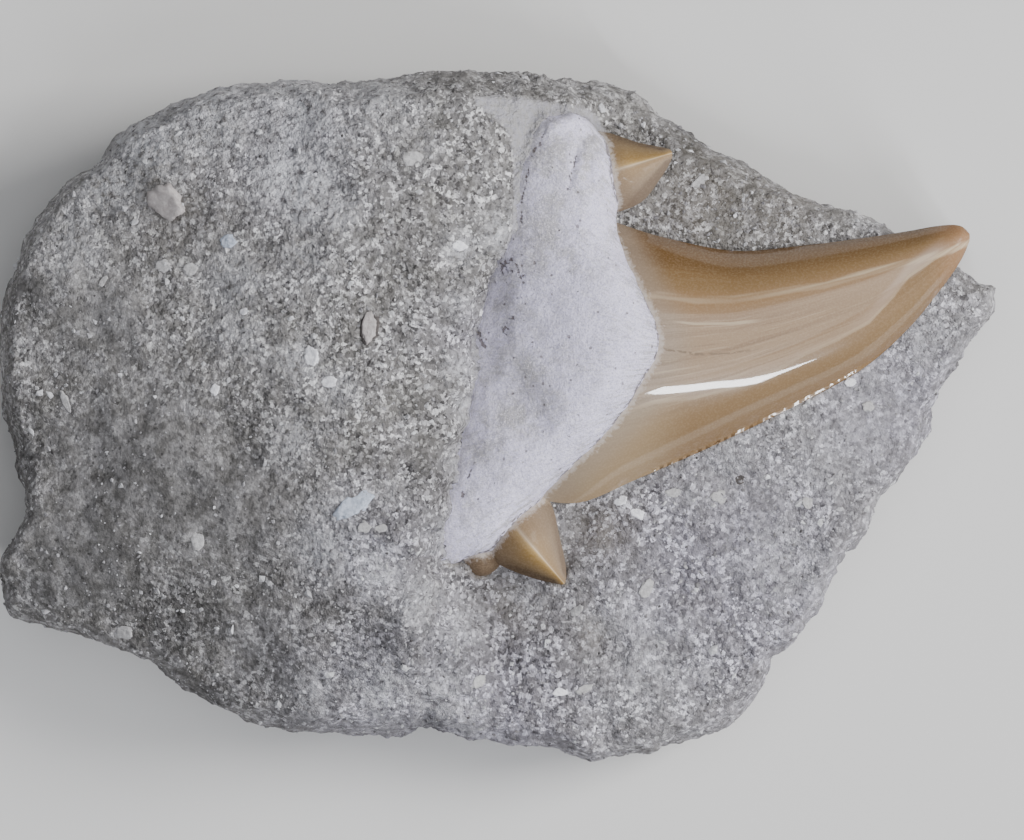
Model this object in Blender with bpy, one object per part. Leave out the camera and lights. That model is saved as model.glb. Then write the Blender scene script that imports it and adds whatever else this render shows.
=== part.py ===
"""A fossil shark tooth still bedded in a hand-sized lump of its phosphate sand rock.

The rock is one broken lump: a high hump on the left, broken off along a ledge, and a low shelf on
the right. The tooth lies on the shelf with its lingual face up. Its root comes out of the ledge,
its crown points along +X, and a small cusplet stands on each side of the crown. The tooth grew as
one piece, so root, crown and cusplets are joined into one solid, and the rock is cut to receive it.

Frame: metres, +Z up, +X towards the crown's tip. The origin is on the table, under the middle of
the rock, which stands on the flat sawn face under it.
"""

import math

import bmesh
import bpy
import numpy as np
from mathutils import Vector, noise

MM = 0.001  # every size below is in millimetres

# --- The rock -------------------------------------------------------------------------------
# Its plan, counter-clockwise from the nose beyond the crown's tip, at the height of its rim.
ROCK_PLAN = (
    (59.9, 15.2), (59.2, 12.4), (55.9, 8.0), (53.5, 4.6), (52.2, 1.4), (51.6, -1.6), (49.5, -5.3),
    (46.2, -9.2), (44.1, -13.4), (41.2, -17.2), (38.6, -22.8), (36.2, -26.4), (33.0, -28.6),
    (31.4, -33.0), (27.9, -36.4), (25.2, -37.9), (20.2, -39.4), (18.8, -40.2), (14.2, -40.4),
    (11.2, -41.6), (8.6, -40.4), (4.9, -39.3), (-1.2, -38.8), (-8.2, -37.5), (-13.8, -37.9),
    (-19.4, -37.7), (-25.2, -37.4), (-31.4, -35.9), (-37.3, -32.6), (-40.8, -29.5), (-47.0, -27.3),
    (-53.0, -25.3), (-58.8, -23.6), (-59.7, -20.4), (-59.9, -17.2), (-57.6, -12.8), (-56.9, -9.8),
    (-58.0, -4.2), (-59.4, 1.0), (-59.9, 7.0), (-59.4, 13.8), (-57.6, 19.6), (-55.6, 24.3),
    (-52.9, 27.7), (-48.8, 30.6), (-45.6, 34.1), (-42.6, 36.0), (-38.0, 38.2), (-33.5, 39.8),
    (-27.4, 40.5), (-20.4, 40.4), (-13.9, 41.0), (-4.8, 41.5), (4.6, 41.1), (12.2, 40.0),
    (16.8, 39.5), (19.6, 36.8), (23.0, 34.4), (29.0, 30.8), (34.9, 27.4), (40.0, 25.6),
    (45.2, 24.2), (49.6, 21.6), (54.4, 18.4), (57.5, 16.7), (59.4, 16.2),
)
PLAN_CENTRE = (-1.5, 0.0)  # every point of the plan can be seen from here
TOP_CELLS = 42  # cells along each side of the grid that becomes the top
RIM_CROWDING = 1.25  # above 1 the cells are narrower towards the rim

# Each face of the top is a plane through (x, y, z) with a rise in mm per mm along X and along Y.
HUMP_FACES = (
    ((-15.0, 12.0, 30.2), (0.02, 0.01)),  # the flat on top
    ((-26.0, 6.0, 30.0), (0.33, -0.05)),  # falls away to the left
    ((-20.0, -15.0, 29.6), (0.27, 0.38)),  # falls away to the lower left
    ((-12.0, -25.0, 29.0), (0.02, 0.72)),  # falls away to the front
    ((-15.0, 31.0, 30.0), (0.02, -0.34)),  # falls away to the back
    ((-46.0, 24.0, 23.4), (0.30, -0.32)),  # falls away to the back left corner
    ((-8.0, 6.0, 29.6), (-0.45, 0.00)),  # falls towards the root
)
SHELF_FACES = (
    ((15.0, 0.0, 17.2), (-0.04, 0.01)),  # the broad flat beside the crown
    ((30.0, 25.0, 16.7), (-0.04, -0.20)),  # falls away behind the crown
    ((20.0, -26.0, 16.8), (-0.05, 0.14)),  # falls away to the front
)
FACE_BLEND = 4.0  # how softly two faces of the top meet

# Where the hump breaks off to the shelf: at y, the top of the ledge and its foot in x.
LEDGE = (
    (42.0, -8.0, 19.0), (33.0, -2.4, 15.6), (27.0, -0.4, 10.0), (23.0, 0.8, 8.2), (20.8, 0.0, 6.4),
    (18.4, -2.6, 3.6), (14.0, -4.6, 1.4), (8.0, -6.0, 0.6), (2.0, -6.2, 0.6), (-8.0, -8.4, -3.0),
    (-16.0, -10.6, -4.9), (-22.0, -11.0, -3.6), (-29.0, -13.0, 1.0), (-34.0, -20.0, 4.0),
    (-41.0, -26.0, 8.0),
)

# Hollows, and with a negative depth mounds: x, y, radius, depth.
HOLLOWS = (
    (0.5, -22.0, 4.6, 2.2),  # under the lower cusplet
    (9.8, -12.6, 3.0, 1.3),  # between the lower cusplet and the crown
    (12.0, -27.0, 3.0, 0.8),
    (18.0, 25.0, 3.0, 0.6),  # between the upper cusplet and the crown
    (28.0, -7.5, 3.2, 0.7),
    (-52.0, -4.0, 7.0, 1.2),
    (-36.0, 14.0, 6.0, 0.8),
    (-24.0, -24.0, 6.0, -1.0),
    (3.0, 36.0, 3.4, -1.6),  # the rock that laps onto the root's upper lobe
    (8.4, 37.6, 3.0, -2.6),
    (-11.5, -19.0, 3.0, 1.0),
    (-3.0, 9.0, 2.4, 0.7),
    (-14.5, -26.5, 4.0, 1.0),
    (-30.5, -4.0, 4.5, 0.7),
)

# The low lip of rock along the crown's back edge, how high it stands and how wide it is.
LIP = ((17.0, 25.0), (24.0, 22.6), (30.0, 21.6), (36.0, 22.0), (43.0, 22.8), (47.0, 23.4))
LIP_HEIGHT, LIP_WIDTH = 0.7, 1.4
LUMP_SIZE, LUMP_HEIGHT = 11.0, 0.8  # broad lumps all over the top
CHIP_SIZE, CHIP_HEIGHT = 3.6, 0.4  # the small ones that a hammer leaves
SMOOTH_NEAR = ((30.0, 10.0), 20.0)  # the lumps are lower around the crown: centre and radius
SMOOTHEST = 0.35  # what is left of their height there

SHOULDER = (1.6, 3.4)  # how far in from the rim the top rounds over, at the ends and at the sides
SHOULDER_CURVE = (2.2, 0.6)  # the powers that shape that rounding over
# The broken sides: the direction in degrees, the height of the widest level there, and how far the
# side runs in under it for each millimetre down.
SIDES = (
    (0, 7.0, 0.90), (25, 10.5, 0.35), (60, 8.0, 0.20), (90, 11.5, 0.30), (125, 14.0, 0.50),
    (155, 8.5, 0.80), (188, 10.5, 0.25), (212, 13.0, 0.75), (245, 7.5, 0.25), (278, 10.0, 0.60),
    (310, 6.5, 0.30), (338, 9.0, 0.55), (360, 7.0, 0.90),
)
SIDE_LEVELS = (0.78, 0.52, 0.24, 0.0)  # the levels of a side, as shares of its height
SIDE_LUMP_SIZE, SIDE_LUMP = 15.0, 2.4  # the broad faces that the sides are broken into
SIDE_CHIP_SIZE, SIDE_CHIP = 5.0, 0.9
SIDE_STEP, SIDE_LEAST = 0.5, 0.2  # how far in the side starts under the rim, and its least

# --- The tooth ------------------------------------------------------------------------------
# A part of the tooth is a ball drawn out along stations. Each station gives its two edges as
# (x, y, z), and how far the tooth bulges above and below the line between them.
CROWN = (
    # back edge           front edge         above  below
    ((12.0, 24.4, 17.4), (4.2, -9.6, 17.4), 6.6, 2.4),
    ((15.2, 23.2, 17.4), (9.8, -10.0, 17.3), 6.9, 2.4),
    ((20.2, 21.7, 17.4), (16.6, -7.2, 17.2), 6.9, 2.3),
    ((28.2, 20.2, 17.2), (26.4, -2.9, 16.9), 6.3, 2.1),
    ((36.2, 20.8, 16.9), (35.8, 1.7, 16.7), 5.3, 1.8),
    ((43.4, 21.7, 16.7), (43.6, 6.0, 16.6), 4.2, 1.5),
    ((48.7, 22.5, 16.7), (48.9, 10.6, 16.6), 3.2, 1.2),
    ((52.8, 23.2, 16.9), (52.6, 15.0, 16.7), 2.3, 1.0),
    ((55.3, 23.2, 17.0), (55.3, 18.8, 16.9), 1.4, 0.8),
    ((56.5, 22.2, 17.0), (56.5, 21.4, 17.0), 0.1, 0.1),
)
ROOT = (
    # neck side            hidden side        above  below
    ((-6.0, -17.6, 17.6), (-8.6, -16.6, 18.4), 0.6, 0.6),
    ((-3.4, -16.6, 16.8), (-9.2, -13.9, 18.4), 3.2, 2.6),
    ((0.6, -15.2, 16.6), (-9.0, -9.8, 18.0), 5.2, 4.0),
    ((6.1, -9.3, 18.6), (-8.0, -3.4, 17.4), 6.6, 5.0),
    ((11.5, -2.4, 21.2), (-7.0, 1.6, 17.0), 7.4, 5.4),
    ((16.9, 3.8, 22.6), (-6.6, 5.0, 16.6), 7.8, 5.6),
    ((19.3, 9.4, 23.0), (-6.4, 10.0, 16.6), 8.0, 5.6),
    ((17.8, 15.0, 22.6), (-5.0, 15.0, 16.6), 7.8, 5.4),
    ((15.2, 21.4, 20.6), (-3.4, 20.6, 16.8), 7.6, 5.0),
    ((14.2, 26.8, 18.6), (-1.6, 26.0, 18.4), 7.4, 4.4),
    ((14.0, 31.2, 18.0), (0.4, 31.6, 19.4), 6.6, 3.4),
    ((11.2, 35.2, 18.2), (3.2, 35.6, 19.6), 4.2, 2.2),
    ((8.8, 37.0, 18.6), (6.8, 37.2, 18.4), 0.8, 0.6),
)
UPPER_CUSPLET = (
    ((8.4, 34.8, 17.6), (10.6, 24.4, 17.6), 2.8, 1.0),
    ((12.8, 34.4, 17.6), (14.5, 24.9, 17.6), 3.9, 1.6),
    ((16.6, 33.2, 17.5), (17.3, 26.2, 17.5), 3.4, 1.4),
    ((19.1, 32.7, 17.3), (19.2, 28.6, 17.3), 2.4, 1.0),
    ((20.4, 32.4, 17.1), (20.3, 30.3, 17.1), 1.3, 0.6),
    ((20.8, 31.9, 17.0), (20.8, 31.4, 17.0), 0.1, 0.1),
)
LOWER_CUSPLET = (
    ((5.0, -8.0, 17.2), (-3.4, -13.6, 17.2), 3.4, 1.2),
    ((6.6, -10.8, 17.2), (-1.4, -17.0, 17.2), 4.4, 1.8),
    ((7.4, -13.8, 17.1), (1.4, -18.5, 17.1), 3.9, 1.6),
    ((8.1, -16.4, 16.9), (4.4, -19.4, 16.9), 2.6, 1.2),
    ((8.4, -18.6, 16.7), (6.7, -19.9, 16.7), 1.3, 0.7),
    ((8.2, -19.9, 16.6), (7.9, -20.1, 16.6), 0.1, 0.1),
)
SIDE_DENTICLE = (
    ((-0.4, -14.4, 16.8), (-4.0, -14.8, 16.8), 1.6, 0.9),
    ((-0.1, -17.0, 16.8), (-3.9, -16.9, 16.8), 1.7, 0.9),
    ((-1.3, -18.8, 16.7), (-2.5, -18.8, 16.7), 0.2, 0.2),
)
# How flat-topped a section is: 2 is a parabola, less is ridged, more is flat in the middle.
CROWN_FLATNESS, DENTICLE_FLATNESS = 2.5, 2.0
UPPER_CUSPLET_FLATNESS, LOWER_CUSPLET_FLATNESS = 2.1, 1.85
ROOT_FLATNESS, ROOT_ROUNDNESS = 2.2, 0.55  # the root's edges are rounded over and not sharp
ROOT_CREST = 0.12  # how far the root's crest stands towards the crown, of half its width

BED_GAP = 0.3  # the clearance between the tooth and the rock that it is bedded in
SHARPEST_GAP = 2.5  # how many times the gap the bed may stand off at a sharp edge


def mm(*sizes):
    """A vector in metres from sizes in millimetres."""
    return Vector(sizes) * MM


def closed_curve(points, steps):
    """A smooth closed curve through the points, with that many steps between two of them."""
    ring = np.array(points, float)
    before, after, beyond = np.roll(ring, 1, 0), np.roll(ring, -1, 0), np.roll(ring, -2, 0)
    curve = []
    for t in np.arange(steps) / steps:
        curve.append(
            0.5 * (2 * ring + (after - before) * t
                   + (2 * before - 5 * ring + 4 * after - beyond) * t**2
                   + (3 * ring - before - 3 * after + beyond) * t**3)
        )
    return np.stack(curve, axis=1).reshape(-1, 2)


def along(rows, share):
    """The row at a share of the way through the rows, on a smooth curve through them all."""
    table = np.array([np.hstack(row) for row in rows], float)
    place = min(max(share, 0.0), 1.0) * (len(table) - 1)
    i = min(int(place), len(table) - 2)
    t = place - i
    before, here = table[max(i - 1, 0)], table[i]
    after, beyond = table[i + 1], table[min(i + 2, len(table) - 1)]
    return 0.5 * (2 * here + (after - before) * t
                  + (2 * before - 5 * here + 4 * after - beyond) * t**2
                  + (3 * here - before - 3 * after + beyond) * t**3)


def lumps(x, y, z, size, height):
    """Seeded noise of lumps that are size apart and up to about height tall, in millimetres."""
    return height * noise.fractal(Vector((x, y, z)) / size, 1.0, 2.0, 2)


def lowest_of(faces, x, y):
    """The height at (x, y) of a top made of planes, each blended softly into the next."""
    height = None
    for (x0, y0, z0), (rise_x, rise_y) in faces:
        plane = z0 + rise_x * (x - x0) + rise_y * (y - y0)
        if height is None:
            height = plane
            continue
        near = max(0.0, 1.0 - abs(plane - height) / FACE_BLEND)
        height = min(plane, height) - near * near * FACE_BLEND / 4
    return height


def distance_to_path(x, y, path):
    """How far (x, y) is from a line through the path's points."""
    distances = []
    for start, end in zip(path, path[1:]):
        run_x, run_y = end[0] - start[0], end[1] - start[1]
        share = ((x - start[0]) * run_x + (y - start[1]) * run_y) / (run_x**2 + run_y**2)
        share = min(max(share, 0.0), 1.0)
        distances.append(math.hypot(x - start[0] - share * run_x, y - start[1] - share * run_y))
    return min(distances)


def smooth_step(t):
    """0 before 0, 1 after 1 and an S-curve between."""
    t = min(max(t, 0.0), 1.0)
    return t * t * (3 - 2 * t)


class RockPlan:
    """The rock's outline seen from above, as a distance from its centre in each direction."""

    def __init__(self):
        curve = closed_curve(ROCK_PLAN, 8) - np.array(PLAN_CENTRE)
        angle = np.arctan2(curve[:, 1], curve[:, 0])
        order = np.argsort(angle)
        self.angles = angle[order]
        self.reaches = np.hypot(*curve.T)[order]

    def reach(self, angle):
        """How far the rim is from the centre in that direction."""
        return float(np.interp(angle, self.angles, self.reaches, period=2 * math.pi))

    def place(self, u, v):
        """Where the corner (u, v) of a grid from -1 to 1 lies: x, y, how far in, and its angle."""
        disc_x, disc_y = u * math.sqrt(1 - v * v / 2), v * math.sqrt(1 - u * u / 2)
        angle = math.atan2(disc_y, disc_x)
        share = 1 - (1 - min(math.hypot(disc_x, disc_y), 1.0)) ** RIM_CROWDING
        reach = self.reach(angle)
        x = PLAN_CENTRE[0] + share * reach * math.cos(angle)
        y = PLAN_CENTRE[1] + share * reach * math.sin(angle)
        return x, y, (1 - share) * reach, angle


def side_at(angle):
    """The height of the rock's widest level in that direction, and how the side below runs in."""
    degrees, heights, undercuts = np.array(SIDES).T
    turn = math.degrees(angle) % 360
    return float(np.interp(turn, degrees, heights)), float(np.interp(turn, degrees, undercuts))


def top_height(x, y, inset, angle):
    """The height of the rock's top at (x, y), which is inset from the rim in that direction."""
    y_steps, crests, feet = np.array(LEDGE[::-1]).T
    crest, foot = np.interp(y, y_steps, crests), np.interp(y, y_steps, feet)
    down = smooth_step((x - crest) / (foot - crest))
    height = (1 - down) * lowest_of(HUMP_FACES, x, y) + down * lowest_of(SHELF_FACES, x, y)
    for hollow_x, hollow_y, radius, depth in HOLLOWS:
        height -= depth * math.exp(-((x - hollow_x) ** 2 + (y - hollow_y) ** 2) / radius**2)
    height += LIP_HEIGHT * math.exp(-((distance_to_path(x, y, LIP) / LIP_WIDTH) ** 2))
    (near_x, near_y), near = SMOOTH_NEAR
    away = smooth_step(math.hypot(x - near_x, y - near_y) / near - 0.5)
    rough = SMOOTHEST + (1 - SMOOTHEST) * away
    height += rough * lumps(x, y, 0, LUMP_SIZE, LUMP_HEIGHT)
    height += rough * lumps(x, y, 7, CHIP_SIZE, CHIP_HEIGHT)
    width = SHOULDER[0] + (SHOULDER[1] - SHOULDER[0]) * math.sin(angle) ** 2
    inner, outer = SHOULDER_CURVE
    rounded = (1 - (1 - min(inset / width, 1.0)) ** inner) ** outer
    low, _ = side_at(angle)
    return low + (height - low) * rounded


def build_rock(material):
    """The lump of rock before the tooth is cut out of it."""
    plan = RockPlan()
    mesh = bmesh.new()
    bmesh.ops.create_grid(mesh, x_segments=TOP_CELLS, y_segments=TOP_CELLS, size=1)
    for vertex in mesh.verts:
        x, y, inset, angle = plan.place(vertex.co.x, vertex.co.y)
        vertex.co = mm(x, y, top_height(x, y, inset, angle))
    rim = [edge for edge in mesh.edges if edge.is_boundary]
    rim_points = {corner: corner.co.copy() for edge in rim for corner in edge.verts}
    origin_of = {corner: corner for corner in rim_points}
    for share in SIDE_LEVELS:
        grown = bmesh.ops.extrude_edge_only(mesh, edges=rim)["geom"]
        rim = [part for part in grown if isinstance(part, bmesh.types.BMEdge)]
        old = {tuple(corner.co): origin for corner, origin in origin_of.items()}
        new = [part for part in grown if isinstance(part, bmesh.types.BMVert)]
        origin_of = {corner: old[tuple(corner.co)] for corner in new}
        for corner, origin in origin_of.items():
            x, y, top = rim_points[origin] / MM
            outward = Vector((x - PLAN_CENTRE[0], y - PLAN_CENTRE[1])).normalized()
            _, undercut = side_at(math.atan2(outward.y, outward.x))
            inwards = SIDE_STEP + undercut * (1 - share) * top
            inwards += (1 - share) * lumps(x, y, share * top, SIDE_LUMP_SIZE, SIDE_LUMP)
            inwards += lumps(x, y, share * top + 40, SIDE_CHIP_SIZE, SIDE_CHIP)
            inwards = max(inwards, SIDE_LEAST)
            corner.co = mm(x - outward.x * inwards, y - outward.y * inwards, share * top)
    bmesh.ops.contextual_create(mesh, geom=rim)
    bmesh.ops.recalc_face_normals(mesh, faces=mesh.faces)
    return finished("rock", mesh, material)


def drawn_ball(stations, around, rings, section):
    """A closed mesh: a ball whose poles are the first and last station, drawn out along them.

    section(across) gives the shares of the bulge above and below at -1 to 1 across the station.
    """
    mesh = bmesh.new()
    bmesh.ops.create_uvsphere(mesh, u_segments=around, v_segments=rings, radius=1)
    for vertex in mesh.verts:
        share = math.acos(min(max(vertex.co.z, -1.0), 1.0)) / math.pi
        turn = math.atan2(vertex.co.y, vertex.co.x)
        station = along(stations, share)
        far, near, above, below = station[:3], station[3:6], station[6], station[7]
        across = math.cos(turn)
        bulge, middle = section(across)
        if abs(vertex.co.z) > 0.9999:
            across, bulge, middle = 0, 0, 0
        place = near + (far - near) * (across + middle + 1) / 2
        place[2] += bulge * (above if turn >= 0 else -below)
        vertex.co = mm(*place)
    if mesh.calc_volume(signed=True) < 0:
        bmesh.ops.reverse_faces(mesh, faces=mesh.faces)
    return mesh


def blade_section(flatness):
    """The section of a crown or cusplet: sharp at both edges."""
    return lambda across: (1 - abs(across) ** flatness, 0.0)


def root_section(across):
    """The section of the root: rounded at both edges, with its crest towards the crown."""
    return (1 - abs(across) ** ROOT_FLATNESS) ** ROOT_ROUNDNESS, ROOT_CREST * (1 - across * across)


def grow(mesh, gap):
    """Moves the mesh's surface outwards by gap all over."""
    mesh.normal_update()
    moves = []
    for vertex in mesh.verts:
        moves.append(vertex.normal * gap * min(vertex.calc_shell_factor(), SHARPEST_GAP))
    for vertex, move in zip(mesh.verts, moves):
        vertex.co += move


TOOTH_PARTS = (
    # name, stations, points around, rings, section
    ("root", ROOT, 24, 24, root_section),
    ("crown", CROWN, 28, 24, blade_section(CROWN_FLATNESS)),
    ("upper_cusplet", UPPER_CUSPLET, 16, 10, blade_section(UPPER_CUSPLET_FLATNESS)),
    ("lower_cusplet", LOWER_CUSPLET, 16, 10, blade_section(LOWER_CUSPLET_FLATNESS)),
    ("side_denticle", SIDE_DENTICLE, 10, 6, blade_section(DENTICLE_FLATNESS)),
)


def finished(name, mesh, material, helper=False):
    """Turns the mesh into an object of the scene. A helper only shapes other objects."""
    bmesh.ops.triangulate(mesh, faces=mesh.faces)
    data = bpy.data.meshes.new(name)
    mesh.to_mesh(data)
    mesh.free()
    item = bpy.data.objects.new(name, data)
    bpy.context.scene.collection.objects.link(item)
    data.materials.append(material)
    if helper:
        item.hide_render = True
        item.display_type = "WIRE"
    return item


def combine(item, other, operation):
    """Adds a Boolean of the other object to item."""
    modifier = item.modifiers.new(other.name, "BOOLEAN")
    modifier.operation = operation
    modifier.solver = "EXACT"
    modifier.object = other


def build_tooth(enamel, rock):
    """The tooth as one solid, and the bed for it in the rock."""
    tooth = None
    for name, stations, around, rings, section in TOOTH_PARTS:
        mesh = drawn_ball(stations, around, rings, section)
        if tooth is None:
            tooth = finished("tooth", mesh, enamel)
        else:
            combine(tooth, finished(name, mesh, enamel, helper=True), "UNION")
        bed = drawn_ball(stations, around, rings, section)
        grow(bed, BED_GAP * MM)
        combine(rock, finished(f"bed_of_{name}", bed, enamel, helper=True), "DIFFERENCE")
    return tooth


def plain_material(name, colour, roughness):
    """A Principled material of one colour."""
    material = bpy.data.materials.new(name)
    material.use_nodes = True
    shader = material.node_tree.nodes["Principled BSDF"]
    shader.inputs["Base Color"].default_value = (*colour, 1)
    shader.inputs["Roughness"].default_value = roughness
    shader.inputs["Metallic"].default_value = 0
    material.diffuse_color = (*colour, 1)
    return material


def main():
    for item in list(bpy.data.objects):
        bpy.data.objects.remove(item)
    stone = plain_material("phosphate_sand_rock", (0.42, 0.40, 0.38), 0.95)
    enamel = plain_material("tooth_enamel", (0.42, 0.27, 0.13), 0.22)
    rock = build_rock(stone)
    tooth = build_tooth(enamel, rock)
    tooth.data.shade_smooth()


main()
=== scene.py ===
"""Dresses a fossil shark tooth that is still bedded in a lump of phosphate sand rock.

The rock is one lump, broken all round: a hump on the left, a ledge, and a low shelf on the right.
The tooth lies on the shelf with its lingual face up. Its chalky root comes out of the ledge, and its
polished crown points along +X with a small cusplet on each side. Sand grains, pebbles and shell
chips stand in the rock's surface.

Sizes are in millimetres until a mesh is written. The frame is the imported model's own.
"""

import logging
import math
from dataclasses import dataclass
from enum import Enum

import bmesh
import bpy
import numpy as np
from bmesh.types import BMEdge, BMesh, BMVert
from mathutils import Matrix, Vector, noise
from mathutils.bvhtree import BVHTree
from mathutils.kdtree import KDTree


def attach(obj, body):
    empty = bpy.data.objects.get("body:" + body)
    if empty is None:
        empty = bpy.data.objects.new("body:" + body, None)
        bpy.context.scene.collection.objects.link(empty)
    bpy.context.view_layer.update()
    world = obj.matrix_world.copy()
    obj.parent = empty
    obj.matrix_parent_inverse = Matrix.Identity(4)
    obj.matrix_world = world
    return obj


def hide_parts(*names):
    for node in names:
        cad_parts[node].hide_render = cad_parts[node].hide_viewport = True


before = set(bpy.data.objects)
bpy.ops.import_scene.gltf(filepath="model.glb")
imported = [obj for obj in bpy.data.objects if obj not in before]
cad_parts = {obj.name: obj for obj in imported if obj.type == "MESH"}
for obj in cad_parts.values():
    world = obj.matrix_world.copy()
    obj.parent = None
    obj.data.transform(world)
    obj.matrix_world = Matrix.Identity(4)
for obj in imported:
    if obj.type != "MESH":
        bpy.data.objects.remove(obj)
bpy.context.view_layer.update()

LOG = logging.getLogger("fossil_tooth")
MM = 0.001
IMAGE_WIDTH = 1024
# Rays are dropped on the piece from this height, in millimetres.
ABOVE = 60.0
# What a distance to a line or a border is kept as where it no longer counts.
FAR_OFF = 9.0
Rows = tuple[tuple[float, ...], ...]
Colour = tuple[float, float, float]
Socket, Piece, Mesh = bpy.types.NodeSocket, bpy.types.Object, bpy.types.Mesh


class Side(Enum):
    """The part of the tooth that a face belongs to, as its material index."""

    DENTINE = 0
    ENAMEL = 1


# --- Small tools ------------------------------------------------------------------------------


def between(before: np.ndarray, here: np.ndarray, after: np.ndarray, beyond: np.ndarray,
            t: np.ndarray | float) -> np.ndarray:
    """The smooth curve through four rows of numbers, at share t of the way from here to after."""
    return 0.5 * (2 * here + (after - before) * t
                  + (2 * before - 5 * here + 4 * after - beyond) * t**2
                  + (3 * here - before - 3 * after + beyond) * t**3)


def spline_rows(rows: Rows, shares: np.ndarray) -> np.ndarray:
    """Reads a smooth curve through rows of numbers.

    Args:
        rows: The rows that the curve goes through, evenly spaced from share 0 to share 1.
        shares: Where to read it.

    Returns:
        One row for each share.
    """
    table = np.array(rows, float)
    place = np.clip(shares, 0, 1) * (len(table) - 1)
    i = np.minimum(place.astype(int), len(table) - 2)
    t = (place - i)[:, None]
    return between(table[np.maximum(i - 1, 0)], table[i], table[i + 1],
                   table[np.minimum(i + 2, len(table) - 1)], t)


def closed_curve(points: Rows, steps: int) -> np.ndarray:
    """A smooth closed curve through the points, with that many steps between two of them."""
    ring = np.array(points, float)
    before, after, beyond = np.roll(ring, 1, 0), np.roll(ring, -1, 0), np.roll(ring, -2, 0)
    curve = [between(before, ring, after, beyond, t) for t in np.arange(steps) / steps]
    return np.stack(curve, axis=1).reshape(-1, 2)


def smooth_step(t: np.ndarray) -> np.ndarray:
    """0 before 0, 1 after 1 and an S-curve between."""
    t = np.clip(t, 0.0, 1.0)
    return t * t * (3 - 2 * t)


def lumps(points: np.ndarray, size: float, height: float, octaves: int = 2) -> np.ndarray:
    """Seeded noise at each point.

    Args:
        points: Rows of x, y, z in millimetres.
        size: How far apart the lumps are.
        height: About how tall they are.
        octaves: How many finer layers are added.

    Returns:
        The height at each point.
    """
    scaled = points / size
    return height * np.array([noise.fractal(Vector(p), 1.0, 2.0, octaves) for p in scaled])


def strayed(points: np.ndarray, size: float, height: float) -> np.ndarray:
    """The x, y of each point pushed about by noise, so that a line drawn by them wavers."""
    return points[:, :2] + np.column_stack([lumps(points, size, height), lumps(points + 30, size, height)])


def distance_to_path(points: np.ndarray, path: Rows) -> np.ndarray:
    """How far each x, y is from a line through the path's x, y points."""
    nearest = np.full(len(points), np.inf)
    for start, end in zip(path, path[1:]):
        a, along = np.array(start[:2]), np.subtract(end[:2], start[:2])
        t = np.clip((points[:, :2] - a) @ along / (along @ along), 0, 1)
        nearest = np.minimum(nearest, np.hypot(*(points[:, :2] - a - t[:, None] * along).T))
    return nearest


def cracked_places(points: np.ndarray, cracks: tuple[tuple[Rows, float], ...],
                   size: float, height: float) -> np.ndarray:
    """How dark thin cracks are at each point. They come and go along their length.

    Args:
        points: Rows of x, y, z in millimetres.
        cracks: The path of each crack and how wide it looks.
        size: How far apart the bends are that are added to the paths.
        height: How far those bends swing out.

    Returns:
        A number from 0 to 1 for each point.
    """
    places, cover = strayed(points, size, height), np.zeros(len(points))
    for path, width in cracks:
        cover = np.maximum(cover, np.exp(-((distance_to_path(places, path) / width) ** 2)))
    return cover * smooth_step((lumps(points + 11, 1.5, 1.0) + 0.30) / 0.3)


def blots(points: np.ndarray, places: Rows) -> np.ndarray:
    """How strongly soft round blots cover each point. A place is x, y, radius and strength."""
    cover = np.zeros(len(points))
    for x, y, radius, strength in places:
        away = np.hypot(points[:, 0] - x, points[:, 1] - y) / radius
        cover = np.maximum(cover, strength * np.exp(-(away**2)))
    return cover


def mesh_rows(mesh: Mesh, key: str) -> np.ndarray:
    """A row of three numbers for each vertex: its place or its normal."""
    flat = np.empty(len(mesh.vertices) * 3, np.float32)
    mesh.vertices.foreach_get(key, flat)
    return flat.reshape(-1, 3).astype(float)


def mesh_points(mesh: Mesh) -> np.ndarray:
    """The mesh's vertices as rows in millimetres."""
    return mesh_rows(mesh, "co") / MM


def move_points(mesh: Mesh, points: np.ndarray) -> None:
    """Puts the mesh's vertices at those rows, in millimetres."""
    mesh.vertices.foreach_set("co", (points * MM).astype(np.float32).ravel())
    mesh.update()


def paint(mesh: Mesh, name: str, values: np.ndarray) -> None:
    """Keeps a number for each vertex under that name, for materials to read."""
    layer = mesh.attributes.new(name, "FLOAT", "POINT")
    layer.data.foreach_set("value", values.astype(np.float32))


def link(name: str, mesh: Mesh) -> Piece:
    """A new object of that mesh in the scene."""
    item = bpy.data.objects.new(name, mesh)
    bpy.context.scene.collection.objects.link(item)
    return item


def from_bmesh(name: str, shape: BMesh) -> Piece:
    """A new object of that bmesh, which is freed.

    Blender's operators can list a shape's faces in another order each run. Here they are put in one
    that stays, so that what is scattered over them later stays too.
    """
    shape.verts.index_update()
    rows = sorted(([vertex.index for vertex in face.verts], face.material_index, face.smooth)
                  for face in shape.faces)
    mesh = bpy.data.meshes.new(name)
    mesh.from_pydata([vertex.co for vertex in shape.verts], [], [corners for corners, _, _ in rows])
    mesh.polygons.foreach_set("material_index", [index for _, index, _ in rows])
    mesh.polygons.foreach_set("use_smooth", [smooth for _, _, smooth in rows])
    shape.free()
    return link(name, mesh)


def face_outwards(shape: BMesh) -> None:
    """Turns a closed shape's faces round if they face inwards."""
    if shape.calc_volume(signed=True) < 0:
        bmesh.ops.reverse_faces(shape, faces=shape.faces)


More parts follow.
